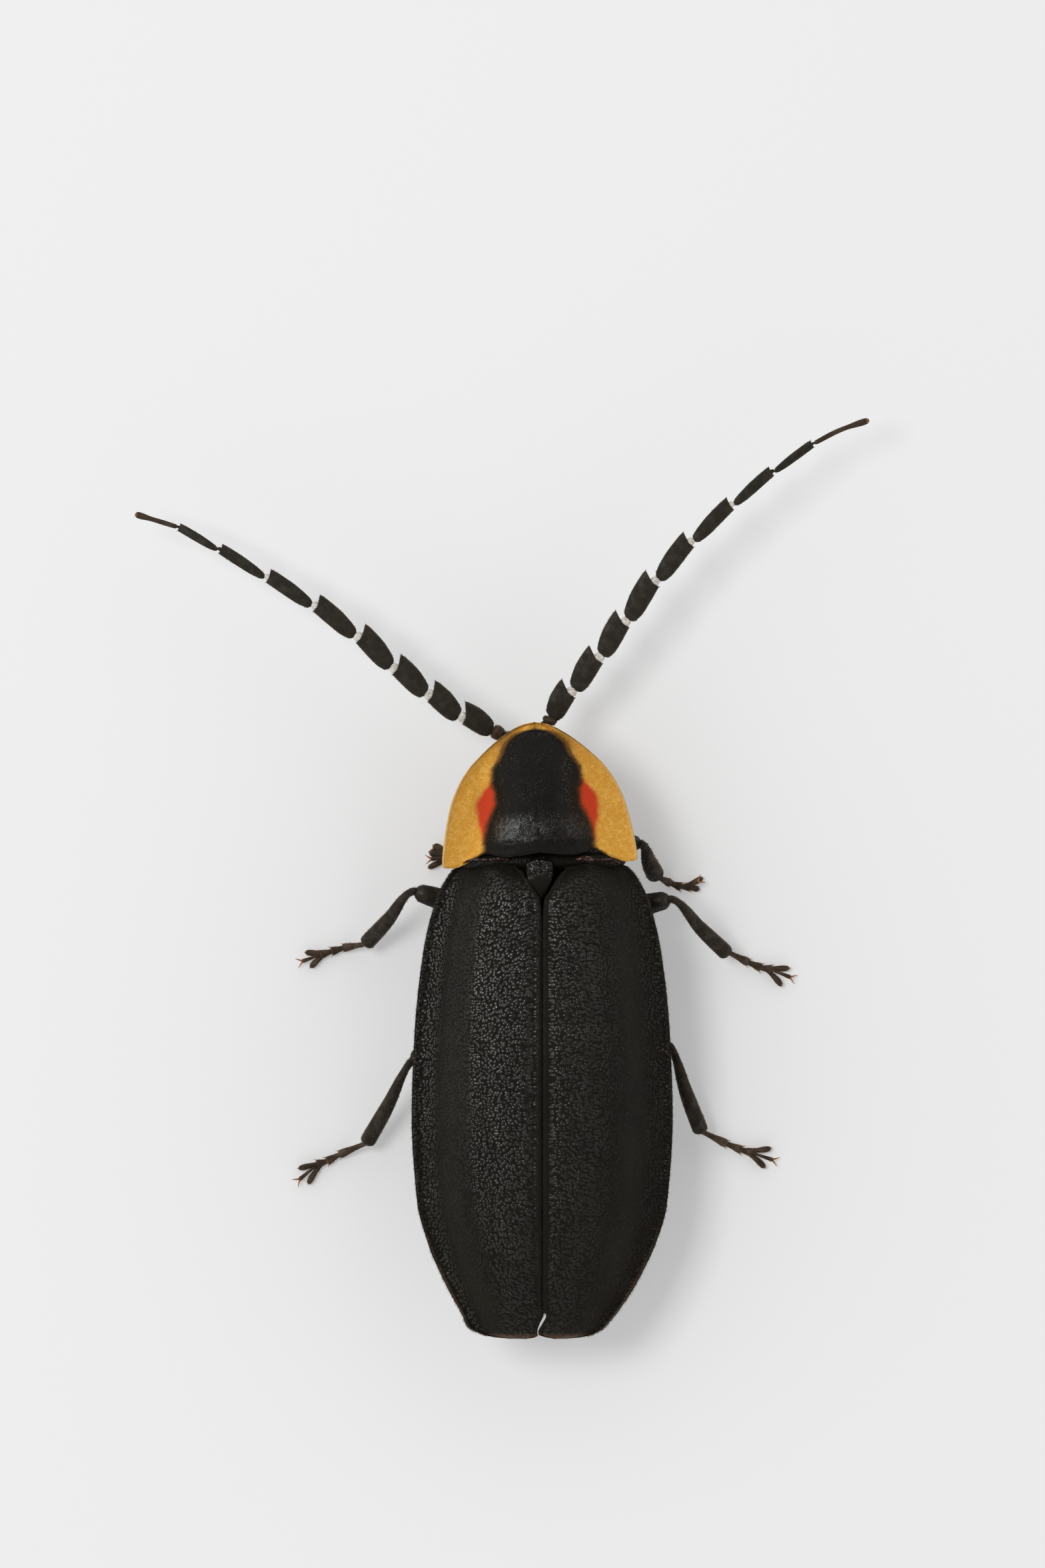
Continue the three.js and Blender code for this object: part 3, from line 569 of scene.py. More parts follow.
# %% Wing case curves
case_outer = through(
    (CASE_TIP, 0.5), (-8.39, 0.8), (-8.33, 1.01), (-8.22, 1.21), (-7.97, 1.38), (-7.66, 1.58),
    (-7.27, 1.79), (-6.73, 2.03), (-6.0, 2.23), (-4.46, 2.33), (-3.0, 2.28), (-1.6, 2.135),
    (-0.63, 1.91), (-0.25, 1.73), (-0.05, 1.58), (0.04, 1.44), (CASE_FRONT, 1.28),
)
tip_lean = through((CASE_TIP, 0.07), (-8.22, 0.1), (-7.97, 0.06), (-7.6, 0.03), (-6.5, 0))
INNER_FRONT = (
    (-7.8, 0.006), (-1.6, 0.006), (-1.0, 0.01), (-0.6, 0.035), (-0.4, 0.15), (-0.2, 0.27), (0, 0.46),
    (0.05, 0.62), (CASE_FRONT, 0.82),
)
INNER_TIPS = {
    -1: ((CASE_TIP, 0.3), (-8.4, 0.15), (-8.36, 0.08), (-8.29, 0.085), (-8.15, 0.045), (-7.98, -0.025)),
    1: ((CASE_TIP, 0.22), (-8.38, 0.02), (-8.34, -0.07), (-8.29, -0.07), (-8.15, 0.0), (-8.0, 0.07)),
}
case_inner = {side: through(*tip, *INNER_FRONT) for side, tip in INNER_TIPS.items()}
case_crown = through(
    (CASE_TIP, 1.75), (-7.5, 2.15), (-6.0, 2.48), (-4.0, 2.62), (-2.0, 2.58), (-0.5, 2.36),
    (CASE_FRONT, 1.98),
)
case_rim = through(
    (CASE_TIP, 1.55), (-6.5, 1.48), (-4.0, 1.42), (-2.0, 1.44), (-0.6, 1.52), (CASE_FRONT, 1.6)
)
case_section = through(
    (0, 0.96), (0.15, 1), (0.45, 0.93), (0.63, 0.76), (0.75, 0.42), (0.83, 0.16), (0.9, 0.06), (1, 0.02)
)
case_wall = through((0, 0.07), (0.1, 0.22), (0.5, 0.26), (0.9, 0.12), (1, 0.07))
print("a wing case is", round(CASE_FRONT - CASE_TIP, 2), "mm long")


def case_top(share, y, side):
    """A place on the outside of a wing case, with x counted from the seam outwards."""
    outer = case_outer(y) - side * tip_lean(y)
    x = mixed(case_inner[side](y), outer, share)
    across = x / outer
    level = mixed(case_rim(y), case_crown(y), case_section(across))
    middle = held((y - CASE_TIP) / 1.2)
    beads = 0.02 * hump(share, 0.02, 0.02) - 0.015 * hump(share, 0.06, 0.02)
    ribs = 0.01 * middle * (hump(across, 0.31, 0.05) + hump(across, 0.57, 0.04))
    rim_bead = 0.02 * hump(across, 0.985, 0.02) - 0.015 * hump(across, 0.93, 0.02)
    return np.array([x, y, level + beads + ribs + rim_bead])


# %% Building the wing cases
CASE_COLUMNS = 90
CASE_ROWS = 300
CASE_WAVES = (0.008, 3.2), (0.0048, 7)


def case_along(t):
    return mixed(CASE_TIP, CASE_FRONT, mixed(t, eased(t), 0.85))


def wing_case(side):
    bm = bmesh.new()

    def under(s, t):
        y = case_along(t)
        ends = np.minimum(1, np.minimum(y - CASE_TIP, CASE_FRONT - y) / 0.5)
        spot = case_top(s, y, side)
        spot[2] -= mixed(0.07, case_wall(s), ends)
        return spot

    upper = slab(bm, CASE_COLUMNS, CASE_ROWS, lambda s, t: case_top(s, case_along(t), side), under)
    waves(upper, *CASE_WAVES)
    soften_edges(bm, 0.02)
    bm.transform(Matrix.Scale(side, 4, (1, 0, 0)))
    return bm


for side, word in SIDES:
    piece(wing_case(side), f"wing_case_{word}", CASE_BLACK, "shell", f"elytron_{word}")

# %% [markdown]
# ## Head shield
# The shield is one plate with a dark dome along its middle and flat light sides that turn up a little at
# the rim. Its colours meet along soft lines, so each corner of the mesh keeps two distances, one to the
# edge of the black middle and one to the nearest red spot, and the finish blends colours across them.

# %% Shield curves
SHIELD_FRONT = 2.51
shield_half = through(
    (-0.05, 1.7), (0.02, 1.745), (0.25, 1.725), (0.58, 1.67), (1.07, 1.555), (1.39, 1.42),
    (1.71, 1.215), (1.965, 0.965), (2.19, 0.7), (2.39, 0.4), (2.46, 0.25), (2.5, 0.08),
    (SHIELD_FRONT, 0.0),
)
shield_hind = through(
    (0, 0.18), (0.35, 0.12), (0.55, 0.19), (0.66, 0.11), (0.8, 0), (0.9, -0.04), (1, -0.03)
)
dome_half = through(
    (0, 1.06), (0.45, 0.98), (0.86, 0.85), (1.2, 0.77), (1.5, 0.8), (1.9, 0.68), (2.2, 0.46), (2.5, 0.12)
)
shield_crown = through(
    (0, 2.36), (0.12, 2.42), (0.5, 2.46), (1.2, 2.38), (1.8, 2.14), (2.3, 1.82), (2.5, 1.72)
)
shield_rim = through((0, 1.8), (0.8, 1.68), (1.6, 1.62), (2.5, 1.68))
dome_section = through((0, 1), (0.35, 0.95), (0.65, 0.75), (0.9, 0.38), (1.1, 0.1), (1.3, 0))
black_edge = through(
    (-0.05, 1.3), (0.16, 1.12), (0.24, 1.0), (0.45, 0.98), (0.67, 0.93), (0.86, 0.85), (1.1, 0.76),
    (1.26, 0.755), (1.44, 0.81), (1.65, 0.79), (1.9, 0.64), (2.15, 0.51), (2.28, 0.36), (2.35, 0.2),
    (2.39, 0.0), (2.5, -0.15),
)
red_reach = through((0.3, 0), (0.5, 0.05), (0.78, 0.2), (1.09, 0.34), (1.29, 0.23), (1.43, 0.05), (1.52, 0))
print("the shield is", round(2 * float(shield_half(0.02)), 2), "mm wide")


def shield_top(across, y):
    x = across * shield_half(y)
    level = mixed(shield_rim(y), shield_crown(y), dome_section(np.abs(x) / dome_half(y)))
    edge = np.abs(across)
    curl = 0.05 * held((edge - 0.8) / 0.2) ** 2 + 0.02 * hump(edge, 0.985, 0.015)
    x_in = np.abs(x)
    inside = held((1.0 - x_in) / 0.25)
    bosses = np.where(x < 0, 0.1, 0.035) * hump(x_in, 0.4, 0.24) * hump(y, 0.62, 0.24)
    midline = -0.03 * hump(x, 0, 0.05) * hump(y, 0.7, 0.4)
    dents = -0.05 * hump(x_in, 0.55, 0.13) * hump(y, 0.34, 0.07)
    border = -0.045 * hump(y, 0.37 - 0.05 * x_in**2, 0.06) * inside
    return np.array([x, y, level + curl + bosses + midline + dents + border])


# %% Building the shield
SHIELD_COLUMNS = 140
SHIELD_ROWS = 110
SHIELD_WAVES = (0.008, 6), (0.01, 2.5)
NO_RED = 0.6  # keeps the red away where its reach is nothing


def shield_spot(s, t):
    """The share across and the y that belong to a place in the grid."""
    side = 2 * s - 1
    across = np.sign(side) * (1 - (1 - np.abs(side)) ** 1.15)
    forward = np.sin(pi / 2 * t)
    return across, forward * SHIELD_FRONT + shield_hind(np.abs(across)) * (1 - forward) ** 2


def head_shield():
    bm = bmesh.new()

    def top(s, t):
        place = shield_top(*shield_spot(s, t))
        place[2] += 0.03 * hump(t, 0.012, 0.012)
        return place

    def under(s, t):
        across, y = shield_spot(s, t)
        place = shield_top(across, y)
        inside = held((1 - np.abs(across)) / 0.5) * held((2.5 - y) / 0.6)
        place[2] -= 0.07 + 0.22 * inside * held(t / 0.1)
        return place

    waves(slab(bm, SHIELD_COLUMNS, SHIELD_ROWS, top, under), *SHIELD_WAVES)
    soften_edges(bm, 0.02)
    return bm


def mark_shield(obj):
    """Keeps the distances to the black middle and to the red spots in the mesh."""
    to_forebody = (TO_METRES @ FOREBODY).inverted()
    spots = np.array([to_forebody @ v.co for v in obj.data.vertices])
    x, y = np.abs(spots[:, 0]), spots[:, 1]
    black = x - black_edge(y)
    red = black_edge(y) + red_reach(y) - x - NO_RED * (red_reach(y) < 0.01)
    rim = shield_half(y) - x
    for name, values in (("black_edge", black), ("red_edge", red), ("rim_edge", rim)):
        obj.data.attributes.new(name, "FLOAT", "POINT").data.foreach_set("value", values)


# %% Shield finish
ORANGE = (0.62, 0.29, 0.034)
PALE_ORANGE = (0.78, 0.47, 0.11)
RIM_ORANGE = (0.68, 0.47, 0.2)
RED = (0.52, 0.045, 0.013)
SMOKE = (0.09, 0.035, 0.012)
BLACK = (0.005, 0.0044, 0.003)


def shield_finish():
    shader = Shader("shield orange and black")
    spot = shader.place(forebody=True)
    across, along, _ = shader.axes(spot)
    grains = grain_relief(shader, spot, 30, (1, 1, 1))
    stray = (shader.noise(spot, 7, 2) - 0.5) * 0.07 + (grains - 0.6) * 0.012
    to_black = shader.attribute("black_edge") + stray
    ahead = along.step(1.5, 2.3)
    black = 1 - to_black.step(-0.07, 0.04)
    smoke = (1 - to_black.step(-0.03, 0.08)) + (1 - to_black.step(0.0, 0.24)) * ahead * 0.75
    red = (shader.attribute("red_edge") + stray).step(-0.05, 0.08)
    rim = 1 - shader.attribute("rim_edge").step(0.01, 0.09)
    fleck = shader.noise(spot, 11, 2).step(0.4, 0.75)
    orange = shader.mix((fleck * 0.5 + grains.step(0.5, 1.0) * 0.25).clipped(), ORANGE, PALE_ORANGE)
    orange = shader.mix(rim * 0.6, orange, RIM_ORANGE)
    color = shader.mix(red, orange, RED)
    color = shader.mix(smoke.clipped() * 0.85, color, SMOKE)
    color = shader.mix(black, color, BLACK)
    normal = shader.bump(grains + shader.noise(spot, 22, 1), 0.0055)
    # The polish is kept to the left rear of the black middle. The rear really is glossier than the front.
    # Keeping the polish to the left side is a painted highlight where the lamp's light falls.
    left = across.step(-0.9, -0.5) * (1 - across.step(-0.2, 0.05) * 0.85)
    rear_gloss_and_painted_highlight = along.step(0.3, 0.55) * (1 - along.step(0.62, 0.95)) * left
    sparkle = shader.noise(spot, 14, 1).step(0.4, 0.6) * 0.7 + 0.3
    polish = (grains.step(0.05, 0.6) * 0.7 + 0.3) * (rear_gloss_and_painted_highlight * 1.7 + 0.03) * sparkle * black
    return shader.two_coats(color, normal, (0.6, 0.1), (0.24, 1.0), polish.clipped())


shield = piece(head_shield(), "head_shield", shield_finish(), "shield", "pronotum", forebody=True)
mark_shield(shield)
print("the shield keeps its colour distances in", [a.name for a in shield.data.attributes][-3:])

# %% [markdown]
# ## Between shield and wing cases
# A small glossy plate sits at the front of the seam and narrows to a point between the wing cases. In
# front of it lies the dark soft skin of the waist, with a reddish-brown hinge of a wing case on each side.

# %% Small plate
PLATE_BACK = -0.64
PLATE_FRONT = 0.18
PLATE_SHIFT = -0.045
plate_half = through(
    (PLATE_BACK, 0.02), (-0.5, 0.09), (-0.39, 0.15), (-0.2, 0.22),
    (-0.06, 0.24), (0.06, 0.22), (0.14, 0.15), (PLATE_FRONT, 0.07),
)
plate_level = through(
    (PLATE_BACK, 2.24), (-0.35, 2.27), (-0.16, 2.29), (-0.02, 2.36), (0.09, 2.37), (PLATE_FRONT, 2.26)
)


def small_plate():
    bm = bmesh.new()

    def spot(s, t, drop):
        across = 2 * s - 1
        y = mixed(PLATE_BACK, PLATE_FRONT, t)
        lobe = held((y + 0.22) / 0.12)
        dish = 0.05 * hump(across, 0.05, 0.45) * hump(y, 0.03, 0.09)
        lumps = 0.02 * np.sin(across * 9 + 1) * np.sin(y * 34 + across * 3) * lobe
        level = plate_level(y) - (0.03 + 0.07 * lobe) * across**2 - dish + lumps
        return np.array([across * plate_half(y) + PLATE_SHIFT, y, level - drop])

    slab(bm, 40, 60, lambda s, t: spot(s, t, 0), lambda s, t: spot(s, t, 0.3))
    soften_edges(bm, 0.03, 3)
    return bm


piece(small_plate(), "small_plate", LOBE_BLACK, "shell", "scutellum")

# %% Waist skin and wing hinges
HINGE_BROWN = shell_finish("hinge brown", 16.0, 0.008, (0.024, 0.009, 0.006), 0.8, polish=0.2)

waist_bm = bmesh.new()
collar = through((0, 0.3), (0.5, 0.42), (1, 0.3))
bar(waist_bm, [(-1.5, 0.07, 1.52), (0, 0.12, 1.8), (1.5, 0.12, 1.52)], collar, steady(0.5), 0.1, 32, 60)
piece(waist_bm, "waist_skin", PLATE_BLACK, "shell")

hinge_bm = bmesh.new()
for side in (-1, 1):
    lump = through((0, 0.05), (0.3, 0.08 + side * 0.02), (0.8, 0.07 + side * 0.02), (1, 0.05))
    line = mirrored(side, (0.58, 0.13, 2.1), (0.75, 0.15, 2.11), (0.95, 0.12, 2.05))
    bar(hinge_bm, line, lump, blunt=0.3)
    strap = through((0, 0.04), (0.5, 0.05), (1, 0.04))
    line = mirrored(side, (0.95, 0.12, 2.02), (1.2, 0.13, 1.92), (1.42, 0.06, 1.8))
    bar(hinge_bm, line, strap, blunt=0.2)
piece(hinge_bm, "wing_hinges", HINGE_BROWN, "shell")

# %% [markdown]
# ## Limb finish
# Legs and feelers are black-brown and matt with very short hair. Their ends are amber: the tips of the
# joints, the claws, and the last feeler joint. Each joint's own UV map runs along it from 0 to 1, so one
# finish can turn amber at every joint's end.

# %% Limb finishes
AMBER = (0.24, 0.1, 0.03)


def limb_finish(name, dark, brown, tip, tip_start, tip_share, polish=0.12, edges=0.0):
    """Mottled brown that turns to the tip's colour near each joint's end and, in part, at its edges."""
    shader = Shader(name)
    spot = shader.place()
    round_it, along = shader.shares()
    mottle = shader.noise(spot, 7, 3)
    base = shader.mix(mottle.step(0.35, 0.75) * 0.7, dark, brown)
    near_tip = (along + (mottle - 0.5) * 0.06).step(tip_start, tip_start + 0.07)
    color = shader.mix(near_tip * tip_share, base, tip)
    if edges:
        turn = round_it * (2 * tau)
        side = turn.maths("COSINE", turn).step(0.3, 1.0)
        color = shader.mix(side * along.step(0.15, 0.6) * edges, color, tip)
    pits = shader.cells(spot, 30) * 0.6 + shader.noise(spot, 38, 1) * 0.4
    normal = shader.bump(pits, 0.006)
    return shader.two_coats(color, normal, (0.65, 0.15), (0.35, 0.7), mottle.step(0.4, 0.7) * polish)


LIMB = limb_finish(
    "limb brown black", (0.0115, 0.009, 0.006), (0.03, 0.02, 0.011), AMBER, 0.95, 0.5, polish=0.4
)
SHIN_BROWN = limb_finish(
    "shin brown black", (0.014, 0.011, 0.0075), (0.034, 0.024, 0.014), AMBER, 0.93, 0.7, 0.2, edges=0.3
)
FOOT = limb_finish("foot brown", (0.03, 0.021, 0.014), (0.095, 0.06, 0.034), AMBER, 0.84, 0.75, edges=0.7)
FEELER = limb_finish(
    "feeler brown black", (0.017, 0.0145, 0.01), (0.032, 0.026, 0.017),
    (0.12, 0.065, 0.035), 0.955, 0.6, edges=0.35,
)
CLAW_RED = limb_finish(
    "claw amber", (0.25, 0.085, 0.03), (0.4, 0.17, 0.06), (0.1, 0.03, 0.012), 0.8, 0.8, polish=0.6
)
TIP_AMBER = limb_finish(
    "feeler tip amber", (0.035, 0.022, 0.013), (0.07, 0.042, 0.023), (0.26, 0.13, 0.06), 0.82, 0.8
)


def membrane_finish():
    shader = Shader("joint skin pale")
    spot = shader.place()
    folds = shader.noise(spot, 22, 2)
    color = shader.mix(folds.step(0.3, 0.7), (0.42, 0.38, 0.32), (0.7, 0.68, 0.63))
    return shader.finished(shader.surface(color, 0.5, shader.bump(folds, 0.01), Specular_IOR_Level=0.3))


JOINT_SKIN = membrane_finish()
print("limb finishes ready")

# %% [markdown]
# ## Feelers
# Behind the head each feeler starts with a stout first joint and a tiny second one. Eight flat blades
# follow. A blade starts as a thin neck, widens quickly, and ends in a slanting edge that runs out to a
# tooth on the inner side, where the white skin of the next joint shows. The last joint is slim and
# slightly clubbed. Each blade is a sleeve with its own outline on both sides.

# %% Feeler routes
# Each feeler has the line of its first joint, the places where its blades start, and the line of its tip.
FEELER_RISE = through((0, 1.14), (1, 1.22), (3, 1.34), (5, 1.38), (7, 1.3), (8, 1.2), (9, 1.1))
FEELERS = {
    "left": dict(
        tooth_side=1,
        scape=[(-0.2, 2.12, 1.06), (-0.45, 2.2, 1.08), (-0.7, 2.33, 1.12)],
        roots=[
            (-0.88, 2.44), (-1.48, 2.68), (-2.07, 3.09), (-2.69, 3.57), (-3.33, 4.13), (-4.1, 4.68),
            (-4.94, 5.18), (-5.78, 5.67), (-6.51, 6.06),
        ],
        tip=[(-6.51, 6.06), (-6.9, 6.18), (-7.27, 6.29)],
    ),
    "right": dict(
        tooth_side=-1,
        scape=[(-0.04, 2.2, 1.08), (0.04, 2.4, 1.09), (0.12, 2.56, 1.12)],
        roots=[
            (0.15, 2.66), (0.57, 3.16), (1.06, 3.77), (1.53, 4.41), (2.06, 5.13), (2.69, 5.83),
            (3.41, 6.48), (4.13, 7.06), (4.85, 7.55),
        ],
        tip=[(4.85, 7.55), (5.32, 7.79), (5.84, 7.97)],
    ),
}
BLADE_WIDTH = through((0, 0.43), (3, 0.4), (4, 0.35), (5, 0.28), (6, 0.21), (7, 0.16))
BLADE_THICKNESS = 0.14
BLADE_SQUARE = 0.8
NECK_WIDTHS = (0.21, 0.21, 0.2, 0.19, 0.16, 0.12, 0.08, 0.06)
PALE_NECKS = 6  # the necks nearest the head show white skin
# The outline of a blade as shares of its length and width, and how far its end falls back behind the tooth.
tooth_line = through((0, 0.25), (0.1, 0.36), (0.26, 0.49), (0.53, 0.63), (0.9, 0.69), (1, 0.67))
outer_line = through((0, -0.27), (0.12, -0.34), (0.3, -0.39), (0.54, -0.36), (1, -0.26))
end_line = through((0, -0.25), (0.3, -0.25), (0.6, -0.17), (0.85, -0.06), (1, 0))
evenness = through((0, 0), (3, 0), (5, 0.6), (7, 1))


def blade(bm, root, after, toothward, width, even):
    """Adds one flat blade, and returns the function that gives a place on its skin."""
    length = np.linalg.norm(after - root)
    ahead = (after - root) / length
    toothward = toothward - ahead * np.dot(toothward, ahead)
    toothward = toothward / np.linalg.norm(toothward)
    rise = np.cross(toothward, ahead)
    rise = rise if rise[2] > 0 else -rise

    def place(t, angle):
        t = eased(np.atleast_1d(t)) * (1 + 0 * np.atleast_1d(angle))
        inner = (tooth_line(t) - 0.15 * even) * width
        outer = (outer_line(t) - 0.12 * even) * width
        close = rounded(held(t / 0.09)) * np.sqrt(1 - held((t - 0.985) / 0.015) ** 2)
        round_x = squarish(np.cos(angle), BLADE_SQUARE)
        share = (1 + round_x) / 2
        narrow = np.where(t > 0.5, 1, close)
        x = (inner + outer) / 2 + (inner - outer) / 2 * round_x * narrow
        fall = mixed(end_line(share), -0.2, 0.6 * even) * width
        swell = 0.5 + 0.5 * np.sin(pi * np.clip(t, 0.08, 0.65))
        thick = BLADE_THICKNESS / 2 * min(1, 0.5 + width) * swell
        up = thick * close * squarish(np.sin(angle), BLADE_SQUARE)
        along = t * (length + fall)
        return root[:, None] + toothward[:, None] * x + ahead[:, None] * along + rise[:, None] * up

    sleeve(bm, 28, 26, place)
    return place


# %% Building the feelers
feeler_skins = {}


def ring(bm, spot, ahead, width, height, half_length):
    """A short band round a joint."""
    line = [spot - ahead * half_length, spot, spot + ahead * half_length]
    bar(bm, line, steady(width), steady(height), blunt=0.35, steps=10)


def build_feeler(side, plan):
    blades_bm, joints_bm, stem_bm, tip_bm = (bmesh.new() for _ in range(4))
    roots = [np.array([*spot, float(FEELER_RISE(i))]) for i, spot in enumerate(plan["roots"])]
    skins = []
    for i, (root, after) in enumerate(zip(roots, roots[1:])):
        width = float(BLADE_WIDTH(i))
        ahead = unit(after - root)
        toothward = np.cross(ahead, UP) * plan["tooth_side"]
        skins.append((blade(blades_bm, root, after, toothward, width, float(evenness(i))), width))
        neck = NECK_WIDTHS[i]
        spot = after - ahead * 0.055 + toothward * 0.01
        ring(joints_bm if i < PALE_NECKS else stem_bm, spot, ahead, neck * 0.92, neck * 0.6, 0.075)
    tip = [np.array([*spot, float(FEELER_RISE(8 + i / 2))]) for i, spot in enumerate(plan["tip"])]
    club = through((0, 0.08), (0.3, 0.09), (0.6, 0.085), (0.88, 0.12), (1, 0.1))
    bar(tip_bm, tip, club, blunt=0.06, steps=40)
    stem = through((0, 0.16), (0.25, 0.2), (0.75, 0.27), (0.92, 0.26), (1, 0.2))
    bar(stem_bm, plan["scape"], stem, blunt=0.1)
    start, root = np.array(plan["scape"][-1]), roots[0]
    end = mixed(start, root, 0.98)
    knob = through((0, 0.18), (0.3, 0.25), (0.75, 0.27), (1, 0.2))
    bar(tip_bm, [start, mixed(start, root, 0.5), end], knob, blunt=0.12, steps=16)
    for spot in (start, end):
        ring(tip_bm, spot, unit(root - start), 0.24, 0.2, 0.01)
    piece(blades_bm, f"feeler_blades_{side}", FEELER, "limb", f"antenna_{side}_flagellum")
    piece(joints_bm, f"feeler_joints_{side}", JOINT_SKIN, "limb")
    piece(tip_bm, f"feeler_tip_{side}", TIP_AMBER, "limb")
    piece(stem_bm, f"feeler_stem_{side}", LIMB, "limb", f"antenna_{side}_scape")
    feeler_skins[side] = skins


for side, plan in FEELERS.items():
    build_feeler(side, plan)

# %% [markdown]
# ## Legs
# A leg is a chain of rounded bars: a stout hip joint, a thigh, a shin that starts as a thin neck and
# widens towards its end, and a foot of five small joints. The first three foot joints are little hearts
# with a spine at each corner, the fourth has two long lobes, and the fifth is slim and carries two claws.
# On the front left foot, which is turned, the photograph shows three lobes.
# Knees, ankles, joints, lobes and toes lie where they are seen in the photograph.

# %% Leg plan
LEGS = {
    "front_left": dict(
        root=(-0.3, 0.86, 0.9), hip=(-0.46, 0.66, 0.5),
        knee=(-1.3, 1.12, 0.98), shin_end=(-1.06, 0.36, 0.32),
        foot=[(-1.1, 0.36), (-1.3, 0.28), (-1.48, 0.22), (-1.66, 0.16)],
        lobes=[(-1.95, 0.38), (-2.02, 0.26), (-2.04, -0.03)], toe=(-2.0, 0.13, 0.14),
    ),
    "front_right": dict(
        root=(0.26, 0.86, 0.9), hip=(0.44, 0.66, 0.5),
        knee=(1.77, 0.39, 1.1), shin_end=(2.03, -0.16, 0.34),
        foot=[(2.1, -0.2), (2.285, -0.297), (2.473, -0.361), (2.63, -0.365)],
        lobes=[(2.87, -0.2), (2.81, -0.41)], toe=(2.8, -0.26, 0.2),
    ),
    "middle_left": dict(
        root=(-0.42, -0.86, 0.84), hip=(-0.78, -0.9, 0.5),
        knee=(-2.28, -0.44, 1.06), shin_end=(-3.16, -1.39, 0.3),
        foot=[(-3.24, -1.4), (-3.546, -1.453), (-3.754, -1.517), (-3.952, -1.572)],
        lobes=[(-4.235, -1.535), (-4.144, -1.81)], toe=(-4.3, -1.7, 0.09),
    ),
    "middle_right": dict(
        root=(0.42, -0.86, 0.84), hip=(0.78, -0.92, 0.5),
        knee=(2.29, -0.58, 1.06), shin_end=(3.32, -1.57, 0.3),
        foot=[(3.4, -1.57), (3.679, -1.711), (3.902, -1.807), (4.082, -1.838)],
        lobes=[(4.422, -1.818), (4.284, -2.136)], toe=(4.453, -1.987, 0.09),
    ),
    "hind_left": dict(
        root=(-0.34, -2.34, 0.84), hip=(-0.86, -2.56, 0.52),
        knee=(-2.34, -3.49, 0.9), shin_end=(-3.15, -4.96, 0.3),
        foot=[(-3.23, -4.98), (-3.618, -5.147), (-3.837, -5.266), (-4.011, -5.32)],
        lobes=[(-4.359, -5.4), (-4.185, -5.678)], toe=(-4.35, -5.605, 0.09),
    ),
    "hind_right": dict(
        root=(0.34, -2.34, 0.84), hip=(0.86, -2.5, 0.52),
        knee=(2.27, -3.2, 0.9), shin_end=(2.85, -4.76, 0.3),
        foot=[(2.92, -4.77), (3.29, -4.954), (3.555, -5.066), (3.736, -5.113)],
        lobes=[(4.096, -5.039), (3.99, -5.389)], toe=(4.139, -5.251, 0.09),
    ),
}
THIGH = through((0, 0.22), (0.2, 0.38), (0.6, 0.39), (0.9, 0.33), (1, 0.24))
SHIN = through((0, 0.14), (0.1, 0.13), (0.35, 0.2), (0.7, 0.27), (0.95, 0.28), (1, 0.24))
HEART = through((0, 0.08), (0.4, 0.1), (0.9, 0.155), (1, 0.12))
LOBE = through((0, 0.05), (0.35, 0.08), (0.75, 0.11), (1, 0.08))
TOE = through((0, 0.045), (0.6, 0.06), (1, 0.085))
CLAW = through((0, 0.045), (0.35, 0.028), (1, 0.006))
SPINE = through((0, 0.025), (1, 0.004))
CLAW_LENGTH = 0.13
CLAW_SPREAD = 0.95
FOOT_LEVEL = 0.075
print("six legs planned")


def turned(vector, angle):
    """A level vector turned about the upright axis."""
    x, y = vector[0], vector[1]
    return np.array([x * cos(angle) - y * sin(angle), x * sin(angle) + y * cos(angle), 0])


# %% Hips, thighs and shins
leg_skins = {}  # for each leg its skins, each with a number of hairs and their length


def build_leg(name, plan):
    root, hip, knee, end = (np.array(plan[key]) for key in ("root", "hip", "knee", "shin_end"))
    front = name.startswith("front")
    skins = leg_skins[name] = []

    bm = bmesh.new()
    bar(bm, straight(root, hip), through((0, 0.36), (0.45, 0.5), (1, 0.3)), blunt=0.25)
    start = mixed(hip, knee, 0.14)
    collar = through((0, 0.24), (0.5, 0.3), (1, 0.26))
    bar(bm, straight(hip, start), collar, blunt=0.35, steps=16)
    piece(bm, f"hip_{name}", LIMB, "limb", f"coxa_{name}")

    bm = bmesh.new()
    middle = mixed(start, knee, 0.5) + np.array([0, 0, 0.05])
    thigh = bar(bm, [mixed(hip, knee, 0.06), middle, knee], lambda t: THIGH(t) * (0.85 if front else 1))
    skins.append((thigh, 320, 0.045))
    piece(bm, f"thigh_{name}", LIMB, "limb", f"femur_{name}")

    bm = bmesh.new()
    bend = unit(unit(knee - hip) + unit(end - knee))
    neck = knee + bend * 0.07
    beside = unit(np.cross(UP, end - knee))
    inward = -np.sign(root[0] * beside[0]) * beside
    middle = mixed(neck, end, 0.5) + np.array([0, 0, 0.04]) + inward * 0.02
    stout = 1.15 if front else 1.0
    shin = bar(bm, [knee - bend * 0.06, neck, middle, end], lambda t: SHIN(t) * stout, blunt=0.04, steps=36)
    skins.append((shin, 520, 0.05))
    piece(bm, f"shin_{name}", SHIN_BROWN, "limb", f"tibia_{name}")


